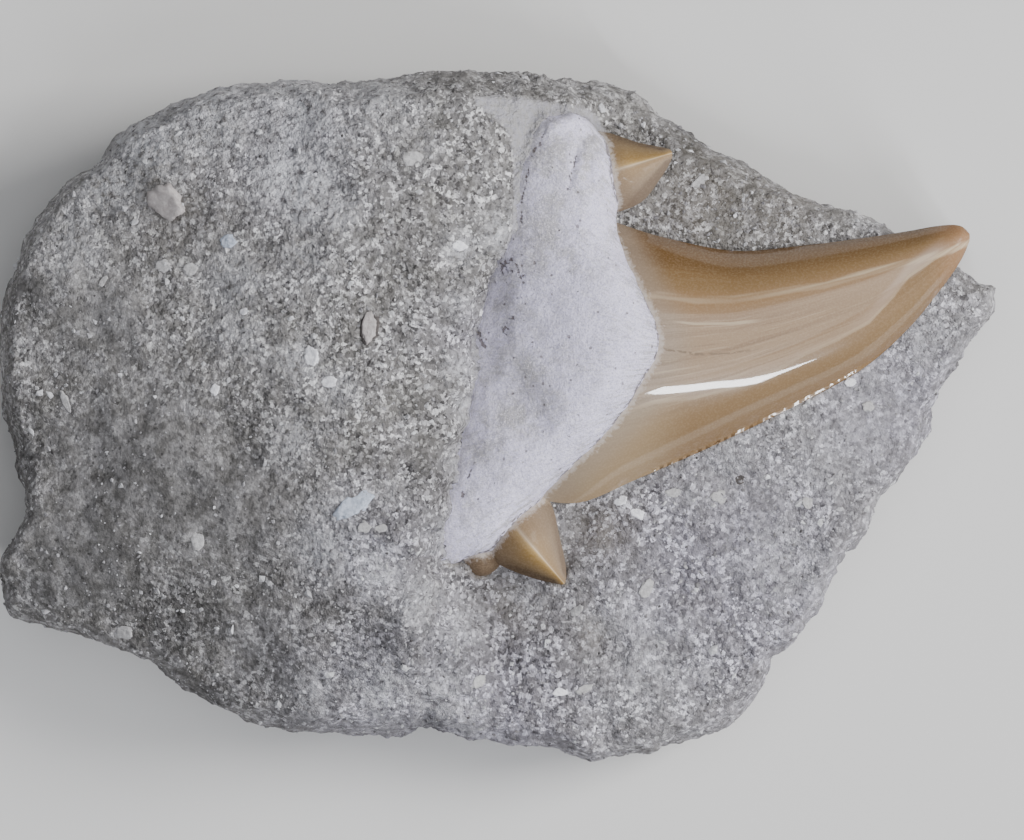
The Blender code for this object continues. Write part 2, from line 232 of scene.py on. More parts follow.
def combined(item: Piece, others: list[Piece], operation: str, name: str) -> Piece:
    """Joins or cuts item with the others, one after another, and keeps item alone.

    Args:
        item: The object that is kept.
        others: The objects that are added or cut away. They are removed afterwards.
        operation: UNION or DIFFERENCE.
        name: The result's name.

    Returns:
        The finished object.
    """
    for other in others:
        modifier = item.modifiers.new(other.name, "BOOLEAN")
        modifier.operation = operation
        modifier.solver = "MANIFOLD"
        modifier.object = other
    solid = item.evaluated_get(bpy.context.evaluated_depsgraph_get())
    mesh = bpy.data.meshes.new_from_object(solid, preserve_all_data_layers=True,
                                           depsgraph=bpy.context.evaluated_depsgraph_get())
    for spent in [item, *others]:
        bpy.data.objects.remove(spent)
    mesh.name = name
    return link(name, mesh)


def surface_tree(mesh: Mesh) -> BVHTree:
    """A search tree of the mesh's faces, in metres."""
    corners = [vertex.co for vertex in mesh.vertices]
    return BVHTree.FromPolygons(corners, [tuple(face.vertices) for face in mesh.polygons])


def dropped(tree: BVHTree, x: float, y: float) -> tuple:
    """What a ray that falls at x, y meets first: its place, normal, face and distance."""
    return tree.ray_cast(Vector((x, y, ABOVE)) * MM, Vector((0, 0, -1)))


def gaps(mesh: Mesh, tree: BVHTree) -> np.ndarray:
    """How far each vertex is from a tree's surface, in millimetres up to 4."""
    far = 4 * MM
    return np.array([tree.find_nearest(vertex.co, far)[3] or far for vertex in mesh.vertices]) / MM


# --- Materials --------------------------------------------------------------------------------


class Shade:
    """A material's node tree, built up by short calls that each return an output socket."""

    def __init__(self, name: str) -> None:
        """Starts a material of that name with its Principled shader."""
        self.material = bpy.data.materials.new(name)
        self.material.use_nodes = True
        self.tree = self.material.node_tree
        self.shader = self.tree.nodes["Principled BSDF"]
        self.position = self.tree.nodes.new("ShaderNodeTexCoord").outputs["Object"]

    def put(self, socket: Socket, value: object) -> None:
        """Links a socket to an output, or sets it to a number or a colour."""
        if isinstance(value, Socket):
            self.tree.links.new(value, socket)
        elif isinstance(value, tuple) and len(value) == 3 and socket.type == "RGBA":
            socket.default_value = (*value, 1)
        else:
            socket.default_value = value

    def set(self, **inputs: object) -> None:
        """Sets the shader's inputs. An underscore in a name stands for a space."""
        for name, value in inputs.items():
            self.put(self.shader.inputs[name.replace("_", " ")], value)

    def attribute(self, name: str) -> Socket:
        """The number that the piece keeps under that name."""
        node = self.tree.nodes.new("ShaderNodeAttribute")
        node.attribute_name = name
        return node.outputs["Fac"]

    def math(self, kind: str, *values: object) -> Socket:
        """A Math node of that kind on the values."""
        node = self.tree.nodes.new("ShaderNodeMath")
        node.operation = kind
        for socket, value in zip(node.inputs, values):
            self.put(socket, value)
        return node.outputs[0]

    def times(self, first: object, second: object) -> Socket:
        """The first value times the second."""
        return self.math("MULTIPLY", first, second)

    def fade(self, value: object, start: float, end: float, low: float = 0.0,
             high: float = 1.0) -> Socket:
        """Runs smoothly from low to high as the value goes from start to end."""
        node = self.tree.nodes.new("ShaderNodeMapRange")
        node.interpolation_type = "SMOOTHSTEP"
        for name, number in (("From Min", start), ("From Max", end), ("To Min", low), ("To Max", high)):
            node.inputs[name].default_value = number
        self.put(node.inputs["Value"], value)
        return node.outputs["Result"]

    def mix(self, share: object, first: object, second: object,
            blend: str = "MIX") -> Socket:
        """Mixes two colours by the share."""
        node = self.tree.nodes.new("ShaderNodeMix")
        node.data_type, node.blend_type = "RGBA", blend
        self.put(node.inputs[0], share)
        self.put(node.inputs[6], first)
        self.put(node.inputs[7], second)
        return node.outputs[2]

    def ramp(self, share: object, stops: tuple[tuple[float, Colour], ...]) -> Socket:
        """A colour ramp with those stops."""
        node = self.tree.nodes.new("ShaderNodeValToRGB")
        elements = node.color_ramp.elements
        while len(elements) < len(stops):
            elements.new(0.5)
        for element, (place, colour) in zip(elements, stops):
            element.position = place
            element.color = (*colour, 1)
        self.put(node.inputs[0], share)
        return node.outputs["Color"]

    def vector(self, x: object, y: object, z: object) -> Socket:
        """A vector from three numbers."""
        node = self.tree.nodes.new("ShaderNodeCombineXYZ")
        for socket, value in zip(node.inputs, (x, y, z)):
            self.put(socket, value)
        return node.outputs[0]

    def warped(self, size_mm: float, reach_mm: float) -> Socket:
        """The position pushed about by noise of that size, so that cells lose their roundness."""
        push = self.tree.nodes.new("ShaderNodeTexNoise")
        push.inputs["Scale"].default_value = 1 / (size_mm * MM)
        self.put(push.inputs["Vector"], self.position)
        steps = self.tree.nodes.new("ShaderNodeVectorMath")
        steps.operation = "MULTIPLY_ADD"
        self.put(steps.inputs[0], push.outputs["Color"])
        steps.inputs[1].default_value = [2 * reach_mm * MM] * 3
        self.put(steps.inputs[2], self.position)
        return steps.outputs[0]

    def clouds(self, size_mm: float, detail: float = 2.0, rough: float = 0.5,
               source: Socket | None = None) -> Socket:
        """Noise whose lumps are about that size, as a number around 0.5."""
        node = self.tree.nodes.new("ShaderNodeTexNoise")
        node.inputs["Scale"].default_value = 1 / (size_mm * MM)
        node.inputs["Detail"].default_value = detail
        node.inputs["Roughness"].default_value = rough
        self.put(node.inputs["Vector"], source or self.position)
        return node.outputs["Fac"]

    def cells(self, size_mm: float, source: Socket | None = None,
              feature: str = "F1") -> bpy.types.Node:
        """Grains of about that size. Its Distance is from the grain's middle, in grain sizes."""
        node = self.tree.nodes.new("ShaderNodeTexVoronoi")
        node.feature = feature
        node.inputs["Scale"].default_value = 1 / (size_mm * MM)
        self.put(node.inputs["Vector"], source or self.position)
        return node

    def chance(self, colour: Socket, channel: str) -> Socket:
        """One channel of a grain's own random colour, as a number from 0 to 1."""
        node = self.tree.nodes.new("ShaderNodeSeparateColor")
        self.put(node.inputs[0], colour)
        return node.outputs[channel]

    def bump(self, height: Socket, depth_mm: float,
             below: Socket | None = None) -> Socket:
        """A bump of that depth, on top of another one if it is given."""
        node = self.tree.nodes.new("ShaderNodeBump")
        node.inputs["Strength"].default_value = 1.0
        node.inputs["Distance"].default_value = depth_mm * MM
        self.put(node.inputs["Height"], height)
        if below is not None:
            self.put(node.inputs["Normal"], below)
        return node.outputs[0]


@dataclass(frozen=True)
class SandRock:
    """The finish of the rock: cemented sand of mixed grains, with pale places that are partly painted light,
    darker places that are partly painted shade, and stained places.
    """

    grain_mm: float = 0.47
    dot_mm: float = 0.78
    coarse_mm: float = 1.15
    chip_mm: float = 2.3
    ground: Colour = (0.244, 0.236, 0.233)
    pale_ground: Colour = (0.398, 0.387, 0.386)
    dark: Colour = (0.060, 0.056, 0.056)
    light: Colour = (0.55, 0.535, 0.545)
    bright: Colour = (0.93, 0.92, 0.92)
    # Pale dusting, also used as painted light on the lit top rim, ledge crest and shelf.
    dust_and_painted_light: Colour = (0.66, 0.66, 0.695)
    stain: Colour = (0.17, 0.148, 0.118)
    skin: Colour = (0.405, 0.395, 0.43)
    dull: Colour = (0.66, 0.65, 0.62)
    patch: Colour = (0.57, 0.56, 0.52)
    # Multiplied in where painted shade falls.
    shade: Colour = (0.42, 0.42, 0.42)
    # The colder cast painted for the cooler light from the lower side.
    cold: Colour = (0.942, 0.93, 1.075)

    def sand(self, s: Shade, near: Socket, far: Socket, pits: Socket, shown: Socket) -> Socket:
        """The cemented grains, from fine sand to chips.

        Args:
            s: The material's shade.
            near: The position, pushed about a little.
            far: The position, pushed about further.
            pits: The clouds whose low places are dark pits.
            shown: How strongly the grains stand out from the ground.

        Returns:
            Their colour.
        """
        colour = s.mix(s.fade(s.clouds(1.5, 3.0, 0.7), 0.40, 0.60), self.ground, self.pale_ground)
        fine = s.cells(self.grain_mm, near)
        grain = s.ramp(s.chance(fine.outputs["Color"], "Red"), (
            (0.0, self.dark), (0.24, self.ground), (0.58, self.ground), (0.84, self.light),
            (0.97, self.bright)))
        colour = s.mix(s.times(shown, 0.9), colour, grain)
        for size, start, full in ((self.coarse_mm, 0.80, 0.88), (self.chip_mm, 0.84, 0.9)):
            chips = s.cells(size, far)
            tone = s.chance(chips.outputs["Color"], "Blue")
            middle = s.fade(chips.outputs["Distance"], 0.24, 0.40, 1.0, 0.0)
            colour = s.mix(s.times(s.fade(tone, start, full, 0.0, 0.6), middle), colour, self.light)
            colour = s.mix(s.times(s.fade(tone, 0.10, 0.05, 0.0, 0.5), middle), colour, self.dark)
        flecks = s.clouds(0.78, 2.0, 0.55)
        colour = s.mix(s.times(s.fade(flecks, 0.60, 0.65, 0.0, 0.8), shown), colour, self.bright)
        return s.mix(s.times(s.fade(pits, 0.42, 0.35, 0.0, 0.9), shown), colour, self.dark)

    def dotted(self, s: Shade, colour: Socket, near: Socket) -> Socket:
        """Adds round dark and pale grains to the colour."""
        dots = s.cells(self.dot_mm, near)
        size, kind = (s.chance(dots.outputs["Color"], channel) for channel in ("Green", "Blue"))
        dot = s.math("SUBTRACT", dots.outputs["Distance"], s.times(size, 0.10))
        strength = s.fade(s.attribute("calm"), 0.0, 1.0, 0.30, 0.62)
        dot = s.times(s.fade(dot, 0.10, 0.22, 1.0, 0.0), strength)
        colour = s.mix(s.times(dot, s.fade(kind, 0.50, 0.46)), colour, self.dark)
        return s.mix(s.times(dot, s.fade(kind, 0.70, 0.95)), colour, self.light)

    def aged(self, s: Shade, colour: Socket, drift: Socket, calm: Socket) -> Socket:
        """Dulls the colour in patches, and adds the painted shade, the colder cast painted for the cooler
        light, the stains and the painted contact shade.
        """
        colour = s.mix(s.fade(drift, 0.56, 0.40, 0.0, 0.42), colour, self.dull, "MULTIPLY")
        patchy = s.fade(s.clouds(6.0, 3.0, 0.65), 0.56, 0.42, 0.0, 0.42)
        colour = s.mix(s.times(patchy, calm), colour, self.patch, "MULTIPLY")
        # Painted shade.
        colour = s.mix(s.attribute("shade"), colour, self.shade, "MULTIPLY")
        # The colder cast painted for the cooler light.
        colour = s.mix(s.attribute("cool"), colour, self.cold, "MULTIPLY")
        colour = s.mix(s.times(s.attribute("stain"), 0.7), colour, self.stain)
        # Painted contact shade: the rock is browned to the stain colour within 0.7 mm of the tooth, not on
        # its left side.
        return s.mix(s.fade(s.attribute("contact"), 0.10, 0.7, 0.6, 0.0), colour, self.stain)

    def powdered(self, s: Shade, colour: Socket, pits: Socket) -> Socket:
        """Adds the pale dusting, which is partly painted light, the chalky skin and the cracks that run
        through it.
        """
        chalk = s.clouds(0.9, 3.0, 0.68)
        # Pale dusting, partly painted light on lit slopes.
        dusted_and_lit = s.times(s.attribute("dust_and_painted_light"), s.fade(chalk, 0.32, 0.62))
        colour = s.mix(s.times(dusted_and_lit, 0.85), colour, self.dust_and_painted_light)
        skin = s.fade(s.math("ADD", s.attribute("skin"), s.times(chalk, 0.6)), 0.66, 1.0)
        powder = s.mix(s.fade(pits, 0.36, 0.62), self.pale_ground, self.skin)
        colour = s.mix(s.times(skin, 0.9), colour, powder)
        torn = s.times(s.math("SUBTRACT", pits, 0.5), 1.6)
        cracked = s.fade(s.math("SUBTRACT", s.attribute("cracked"), torn), 0.35, 0.75, 0.0, 0.85)
        return s.mix(cracked, colour, self.dark)

    def material(self) -> bpy.types.Material:
        """The finish as a material, which reads dust, shade, cool, stain, calm, skin, contact, cracked."""
        s = Shade("phosphate_sand")
        near, far = s.warped(0.30, 0.22), s.warped(1.1, 0.9)
        calm = s.fade(s.attribute("calm"), 0.0, 1.0, 1.0, 0.24)
        drift, pits = s.clouds(3.0, 3.0, 0.6), s.clouds(0.62, 2.0, 0.55, near)
        shown = s.times(calm, s.fade(drift, 0.38, 0.58, 0.55, 1.0))
        colour = self.dotted(s, self.sand(s, near, far, pits, shown), near)
        colour = self.powdered(s, self.aged(s, colour, drift, calm), pits)
        s.set(Base_Color=colour, Roughness=0.95, Specular_IOR_Level=0.2)
        relief = s.times(s.clouds(0.95, 3.0, 0.68), s.fade(calm, 0.24, 1.0, 0.45, 1.0))
        s.set(Normal=s.bump(relief, 0.85))
        return s.material


@dataclass(frozen=True)
class LooseGrains:
    """The finish of the grains that stand proud: one stone, from dark to bright, grain by grain."""

    stops: tuple[tuple[float, Colour], ...] = (
        (0.0, (0.07, 0.065, 0.065)), (0.15, (0.17, 0.162, 0.165)), (0.5, (0.28, 0.272, 0.282)),
        (0.8, (0.43, 0.425, 0.44)), (0.93, (0.62, 0.62, 0.635)), (1.0, (0.78, 0.78, 0.80)),
    )

    def material(self) -> bpy.types.Material:
        """The finish as a material, which reads the attribute tone."""
        s = Shade("proud_sand_grains")
        colour = s.ramp(s.attribute("tone"), self.stops)
        colour = s.mix(s.fade(s.clouds(0.3, 3.0), 0.4, 0.7, 0.0, 0.6), colour, (0.6, 0.59, 0.58), "MULTIPLY")
        s.set(Base_Color=colour, Roughness=0.85, Specular_IOR_Level=0.3)
        s.set(Normal=s.bump(s.clouds(0.2, 3.0), 0.08))
        return s.material


@dataclass(frozen=True)
class Dentine:
    """The finish of the root: pale chalky dentine with fine streaks, pores and a pitted neck."""

    pale: Colour = (0.82, 0.785, 1.0)
    grey: Colour = (0.44, 0.422, 0.425)
    shadow: Colour = (0.46, 0.44, 0.565)
    white: Colour = (0.935, 0.90, 1.0)
    pore: Colour = (0.16, 0.132, 0.115)

    def streaked(self, s: Shade, colour: Socket, streaks: Socket, combed: Socket) -> Socket:
        """Adds the streaks where they are combed out, the grain of the chalk, and painted contact shade
        where the root meets the rock.
        """
        colour = s.mix(s.times(s.fade(streaks, 0.51, 0.60), combed), colour, self.grey)
        colour = s.mix(s.times(s.fade(streaks, 0.46, 0.37), combed), colour, self.white)
        chalk = s.clouds(0.22, 3.0, 0.75)
        colour = s.mix(s.fade(chalk, 0.50, 0.62, 0.0, 0.65), colour, self.shadow)
        colour = s.mix(s.fade(chalk, 0.50, 0.38, 0.0, 0.65), colour, self.white)
        # Painted contact shade: the root greys within 0.9 mm of the rock.
        return s.mix(s.fade(s.attribute("bed"), 0.0, 0.9, 0.4, 0.0), colour, self.grey)

    def holes(self, s: Shade) -> Socket:
        """Where the pores, the pits along the neck and the cracks are."""
        pores = s.cells(1.1, s.warped(0.3, 0.1))
        size = s.times(s.chance(pores.outputs["Color"], "Green"), 0.13)
        inside = s.fade(s.math("SUBTRACT", pores.outputs["Distance"], size), 0.03, 0.08, 1.0, 0.0)
        pore = s.times(s.fade(s.chance(pores.outputs["Color"], "Red"), 0.52, 0.56), inside)
        pits = s.cells(0.62, s.warped(0.5, 0.15))
        along_neck = s.fade(s.attribute("neck"), 0.45, 0.9, 1.0, 0.0)
        pit = s.times(along_neck, s.fade(pits.outputs["Distance"], 0.46, 0.70, 1.0, 0.0))
        gate = s.fade(s.clouds(1.7, 2.0), 0.34, 0.46)
        holes = s.math("MAXIMUM", s.times(pore, 0.8), s.times(pit, gate))
        torn = s.times(s.math("SUBTRACT", s.clouds(0.5, 3.0, 0.7), 0.5), 2.6)
        crack = s.fade(s.math("SUBTRACT", s.attribute("cracked"), torn), 0.45, 0.85)
        return s.math("MAXIMUM", holes, crack)

    def material(self) -> bpy.types.Material:
        """The finish as a material, which reads streak, reach, neck, bed, weathered and cracked."""
        s = Shade("chalky_dentine")
        lanes = s.vector(s.attribute("streak"), s.times(s.attribute("reach"), 0.14), 0.0)
        streaks = s.clouds(0.34, 3.0, 0.6, lanes)
        mottle = s.fade(s.clouds(2.4, 3.0, 0.7), 0.35, 0.65)
        # Greyer places: weather-worn dentine, and painted shade on the root's shaded sides and in the lobe's
        # groove.
        greyed = s.math("ADD", s.attribute("weathered_and_painted_shade"), s.times(s.math("SUBTRACT", mottle, 0.5), 0.5))
        colour = s.mix(s.fade(greyed, 0.0, 1.0), self.pale, self.grey)
        combed = s.fade(s.clouds(5.0, 2.0), 0.44, 0.62, 0.10, 0.45)
        combed = s.math("MAXIMUM", combed, s.fade(s.attribute("neck"), 1.5, 6.0, 0.75, 0.0))
        holes = self.holes(s)
        colour = s.mix(s.times(holes, 0.8), self.streaked(s, colour, streaks, combed), self.pore)
        s.set(Base_Color=colour, Roughness=0.92, Specular_IOR_Level=0.25)
        grooves = s.bump(s.times(streaks, combed), 0.34, s.bump(s.clouds(0.7, 4.0, 0.8), 0.36))
        s.set(Normal=s.bump(s.math("SUBTRACT", 1.0, holes), 0.22, grooves))
        return s.material


@dataclass(frozen=True)
class Enamel:
    """The finish of the crown and cusplets: polished enamel, banded lengthwise from edge to edge."""

    bands: tuple[tuple[float, Colour], ...] = (
        (0.00, (0.175, 0.098, 0.045)), (0.05, (0.200, 0.128, 0.063)), (0.10, (0.215, 0.138, 0.066)),
        (0.18, (0.265, 0.190, 0.113)), (0.32, (0.345, 0.248, 0.165)), (0.44, (0.295, 0.198, 0.118)),
        (0.52, (0.298, 0.198, 0.115)), (0.62, (0.325, 0.220, 0.134)), (0.72, (0.285, 0.176, 0.090)),
        (0.80, (0.228, 0.140, 0.062)), (0.88, (0.160, 0.090, 0.033)), (0.95, (0.125, 0.062, 0.015)),
        (1.00, (0.080, 0.038, 0.010)),
    )
    # The pale stop at 0.50 is a painted highlight along the cusplets' crest.
    small_bands: tuple[tuple[float, Colour], ...] = (
        (0.0, (0.18, 0.132, 0.095)), (0.12, (0.26, 0.195, 0.135)), (0.42, (0.30, 0.20, 0.105)),
        (0.475, (0.34, 0.24, 0.14)), (0.50, (0.60, 0.48, 0.34)), (0.53, (0.42, 0.275, 0.105)),
        (0.62, (0.26, 0.158, 0.052)), (0.85, (0.185, 0.122, 0.058)),
        (1.0, (0.085, 0.052, 0.026)),
    )
    gold: Colour = (0.218, 0.134, 0.063)
    tip: Colour = (0.30, 0.160, 0.078)
    cream: Colour = (0.56, 0.45, 0.31)
    thread: Colour = (0.13, 0.085, 0.05)
    fringe: Colour = (0.52, 0.47, 0.43)
    # A painted highlight along the ridge near the tip.
    painted_gleam: Colour = (0.45, 0.345, 0.27)
    olive: Colour = (0.36, 0.268, 0.160)
    # A greyer, lighter film near the neck, partly painted light where the root's junction shades the crown.
    veil_and_painted_light: Colour = (0.30, 0.25, 0.20)
    brown: Colour = (0.17, 0.12, 0.08)
    smoke: Colour = (0.68, 0.62, 0.56)

    def line(self, s: Shade, off: Socket, half: float,
             lanes: Socket) -> Socket:
        """How strongly a line shows, where off is the distance from it in millimetres."""
        shown = s.fade(s.math("ABSOLUTE", off), half * 0.3, half, 1.0, 0.0)
        return s.times(shown, s.fade(s.clouds(1.4, 2.0, 0.5, lanes), 0.3, 0.6))

    def banded(self, s: Shade, place: Socket, crest: Socket) -> Socket:
        """The bands of the crown and of the cusplets, with what lies over them at each end.

        Args:
            s: The material's shade.
            place: How far across each point is, from the lower edge to the upper.
            crest: How far each point is above the crest line.

        Returns:
            Their colour.
        """
        along, across = s.attribute("along"), s.attribute("across")
        colour = s.mix(s.fade(crest, 0.5, -0.6, 0.0, 0.8), s.ramp(place, self.bands), self.gold)
        colour = s.mix(s.fade(along, 0.86, 1.0, 0.0, 0.7), colour, self.tip)
        # Painted highlight: a pale band along the ridge above the crest line, towards the tip.
        ridge = s.fade(s.math("ABSOLUTE", s.math("SUBTRACT", crest, 0.9)), 0.2, 1.3, 0.6, 0.0)
        ridge = s.times(ridge, s.fade(along, 0.96, 0.88))
        colour = s.mix(s.times(ridge, s.fade(along, 0.60, 0.82)), colour, self.painted_gleam)
        low_flank = s.times(s.fade(along, 0.22, 0.02, 0.0, 0.6), s.fade(across, 0.46, 0.22))
        colour = s.mix(low_flank, colour, self.olive)
        # Greyer and lighter near the neck: partly painted light against the junction's shade.
        colour = s.mix(s.fade(s.attribute("neck"), 0.8, 5.0, 0.55, 0.0), colour, self.veil_and_painted_light)
        cusplet = s.mix(s.fade(along, 0.28, 0.05, 0.0, 0.45), s.ramp(place, self.small_bands), self.brown)
        return s.mix(s.attribute("small"), colour, cusplet)

    def threaded(self, s: Shade, colour: Socket, place: Socket, lanes: Socket, streaks: Socket) -> Socket:
        """Adds the broad and the hair-fine streaks that run along the middle of the crown."""
        along, small = s.attribute("along"), s.attribute("small")
        middle = s.fade(s.math("ABSOLUTE", s.math("SUBTRACT", place, 0.46)), 0.10, 0.26, 1.0, 0.12)
        middle = s.times(middle, s.fade(small, 0.0, 1.0, 1.0, 0.25))
        middle = s.times(middle, s.fade(along, 0.35, 0.80, 1.0, 0.25))
        broad = s.times(s.fade(s.clouds(1.2, 3.0, 0.6, lanes), 0.56, 0.42), middle)
        colour = s.mix(s.times(broad, 0.6), colour, self.smoke, "MULTIPLY")
        colour = s.mix(s.times(s.fade(streaks, 0.54, 0.70, 0.0, 0.40), middle), colour, self.cream)
        colour = s.mix(s.times(s.fade(streaks, 0.46, 0.30, 0.0, 0.45), middle), colour, self.thread)
        return s.mix(s.fade(s.clouds(0.25, 3.0, 0.6), 0.4, 0.7, 0.0, 0.12), colour, self.cream)

    def lined(self, s: Shade, colour: Socket, growth: Socket, crest: Socket, lanes: Socket) -> Socket:
        """Adds the growth line, the crest line, a scratch and a row of dark dashes."""
        along = s.attribute("along")
        colour = s.mix(s.times(self.line(s, growth, 0.55, lanes), 0.8), colour, self.cream)
        scratch = self.line(s, s.math("ADD", growth, 2.9), 0.24, lanes)
        scratch = s.times(scratch, s.fade(along, 0.42, 0.34))
        colour = s.mix(s.times(scratch, s.fade(along, 0.12, 0.18, 0.0, 0.6)), colour, self.cream)
        # The pale crest line is a painted glint where the crown bends to its lower edge.
        colour = s.mix(s.times(self.line(s, crest, 0.35, lanes), 0.35), colour, self.cream)
        dashes = self.line(s, s.math("ADD", growth, 6.4), 0.2, lanes)
        dashes = s.times(dashes, s.fade(along, 0.42, 0.30))
        dashes = s.times(dashes, s.fade(s.clouds(0.5, 2.0), 0.42, 0.55))
        return s.mix(s.times(dashes, 0.75), colour, self.thread)

    def material(self) -> bpy.types.Material:
        """The finish as a material, which reads along, across, growth, crest, neck and small."""
        s = Shade("polished_enamel")
        along, across = s.attribute("along"), s.attribute("across")
        lanes = s.vector(s.times(along, 0.0013), s.times(across, 0.022), 0.0)
        wander = s.math("SUBTRACT", s.clouds(1.6, 2.0, 0.5, lanes), 0.5)
        place = s.math("ADD", across, s.times(wander, 0.08))
        growth = s.math("ADD", s.attribute("growth"), s.times(wander, 0.9))
        crest = s.math("ADD", s.attribute("crest"), s.times(wander, 0.6))
        streaks = s.clouds(0.42, 4.0, 0.65, lanes)
        colour = self.threaded(s, self.banded(s, place, crest), place, lanes, streaks)
        colour = self.lined(s, colour, growth, crest, lanes)
        torn = s.times(s.math("SUBTRACT", s.clouds(0.55, 4.0, 0.7), 0.5), 2.4)
        fringe = s.fade(s.math("ADD", s.attribute("neck"), torn), 0.0, 0.9, 0.75, 0.0)
        blunt = s.times(s.fade(along, 0.90, 0.97), 0.4)
        dull = s.math("MAXIMUM", s.math("MAXIMUM", fringe, blunt), s.times(s.attribute("small"), 0.42))
        s.set(Base_Color=s.mix(fringe, colour, self.fringe), Specular_IOR_Level=0.2,
              Roughness=s.fade(dull, 0.0, 0.7, 0.24, 0.8),
              Coat_Weight=s.fade(dull, 0.0, 0.5, 1.0, 0.0), Coat_Roughness=0.03)
        s.set(Normal=s.bump(streaks, 0.0040, s.bump(s.clouds(2.4, 3.0), 0.017)))
        return s.material


@dataclass(frozen=True)
class ClastStone:
    """The finish of one kind of pebble or shell chip that is set in the rock."""

    name: str
    colour: Colour
    vein: Colour
    roughness: float = 0.7

    def material(self) -> bpy.types.Material:
        """The finish as a material."""
        s = Shade(self.name)
        colour = s.mix(s.fade(s.clouds(0.5, 4.0, 0.7), 0.38, 0.62), self.colour, self.vein)
        s.set(Base_Color=colour, Roughness=self.roughness, Specular_IOR_Level=0.35)
        s.set(Normal=s.bump(s.clouds(0.35, 4.0, 0.7), 0.14))
        return s.material


@dataclass(frozen=True)
class PaleFloor:
    """The finish of the table: plain pale board."""

    colour: Colour = (0.72, 0.715, 0.70)

    def material(self) -> bpy.types.Material:
        """The finish as a material."""
        s = Shade("pale_board")
        s.set(Base_Color=self.colour, Roughness=0.85)
        return s.material


# --- The tooth --------------------------------------------------------------------------------


@dataclass
class ToothPart:
    """A part of the tooth: a ball drawn out along stations.

    Each station is the x, y, z of its two edges, and how far the part bulges above and below them.
    """

    name: str
    side: Side
    stations: Rows
    around: int
    rings: int
    flatness: float
    roundness: float = 1.0
    crest: float = 0.0

    def build(self) -> Piece:
        """The part as a closed mesh, with its own side's material index on every face."""
        shape = bmesh.new()
        bmesh.ops.create_uvsphere(shape, u_segments=self.around, v_segments=self.rings, radius=1)
        ball = np.array([vertex.co for vertex in shape.verts])
        rows = spline_rows(self.stations, np.arccos(np.clip(ball[:, 2], -1, 1)) / math.pi)
        turn = np.arctan2(ball[:, 1], ball[:, 0])
        across = np.cos(turn)
        bulge = (1 - np.abs(across) ** self.flatness) ** self.roundness
        middle = self.crest * (1 - across**2)
        pole = np.abs(ball[:, 2]) > 0.99999
        across[pole], bulge[pole], middle[pole] = 0, 0, 0
        far, near = rows[:, 0:3], rows[:, 3:6]
        place = near + (far - near) * ((across + middle + 1) / 2)[:, None]
        place[:, 2] += bulge * np.where(turn >= 0, rows[:, 6], -rows[:, 7])
        for vertex, point in zip(shape.verts, place * MM):
            vertex.co = point
        face_outwards(shape)
        for face in shape.faces:
            face.material_index = self.side.value
            face.smooth = True
        return from_bmesh(self.name, shape)


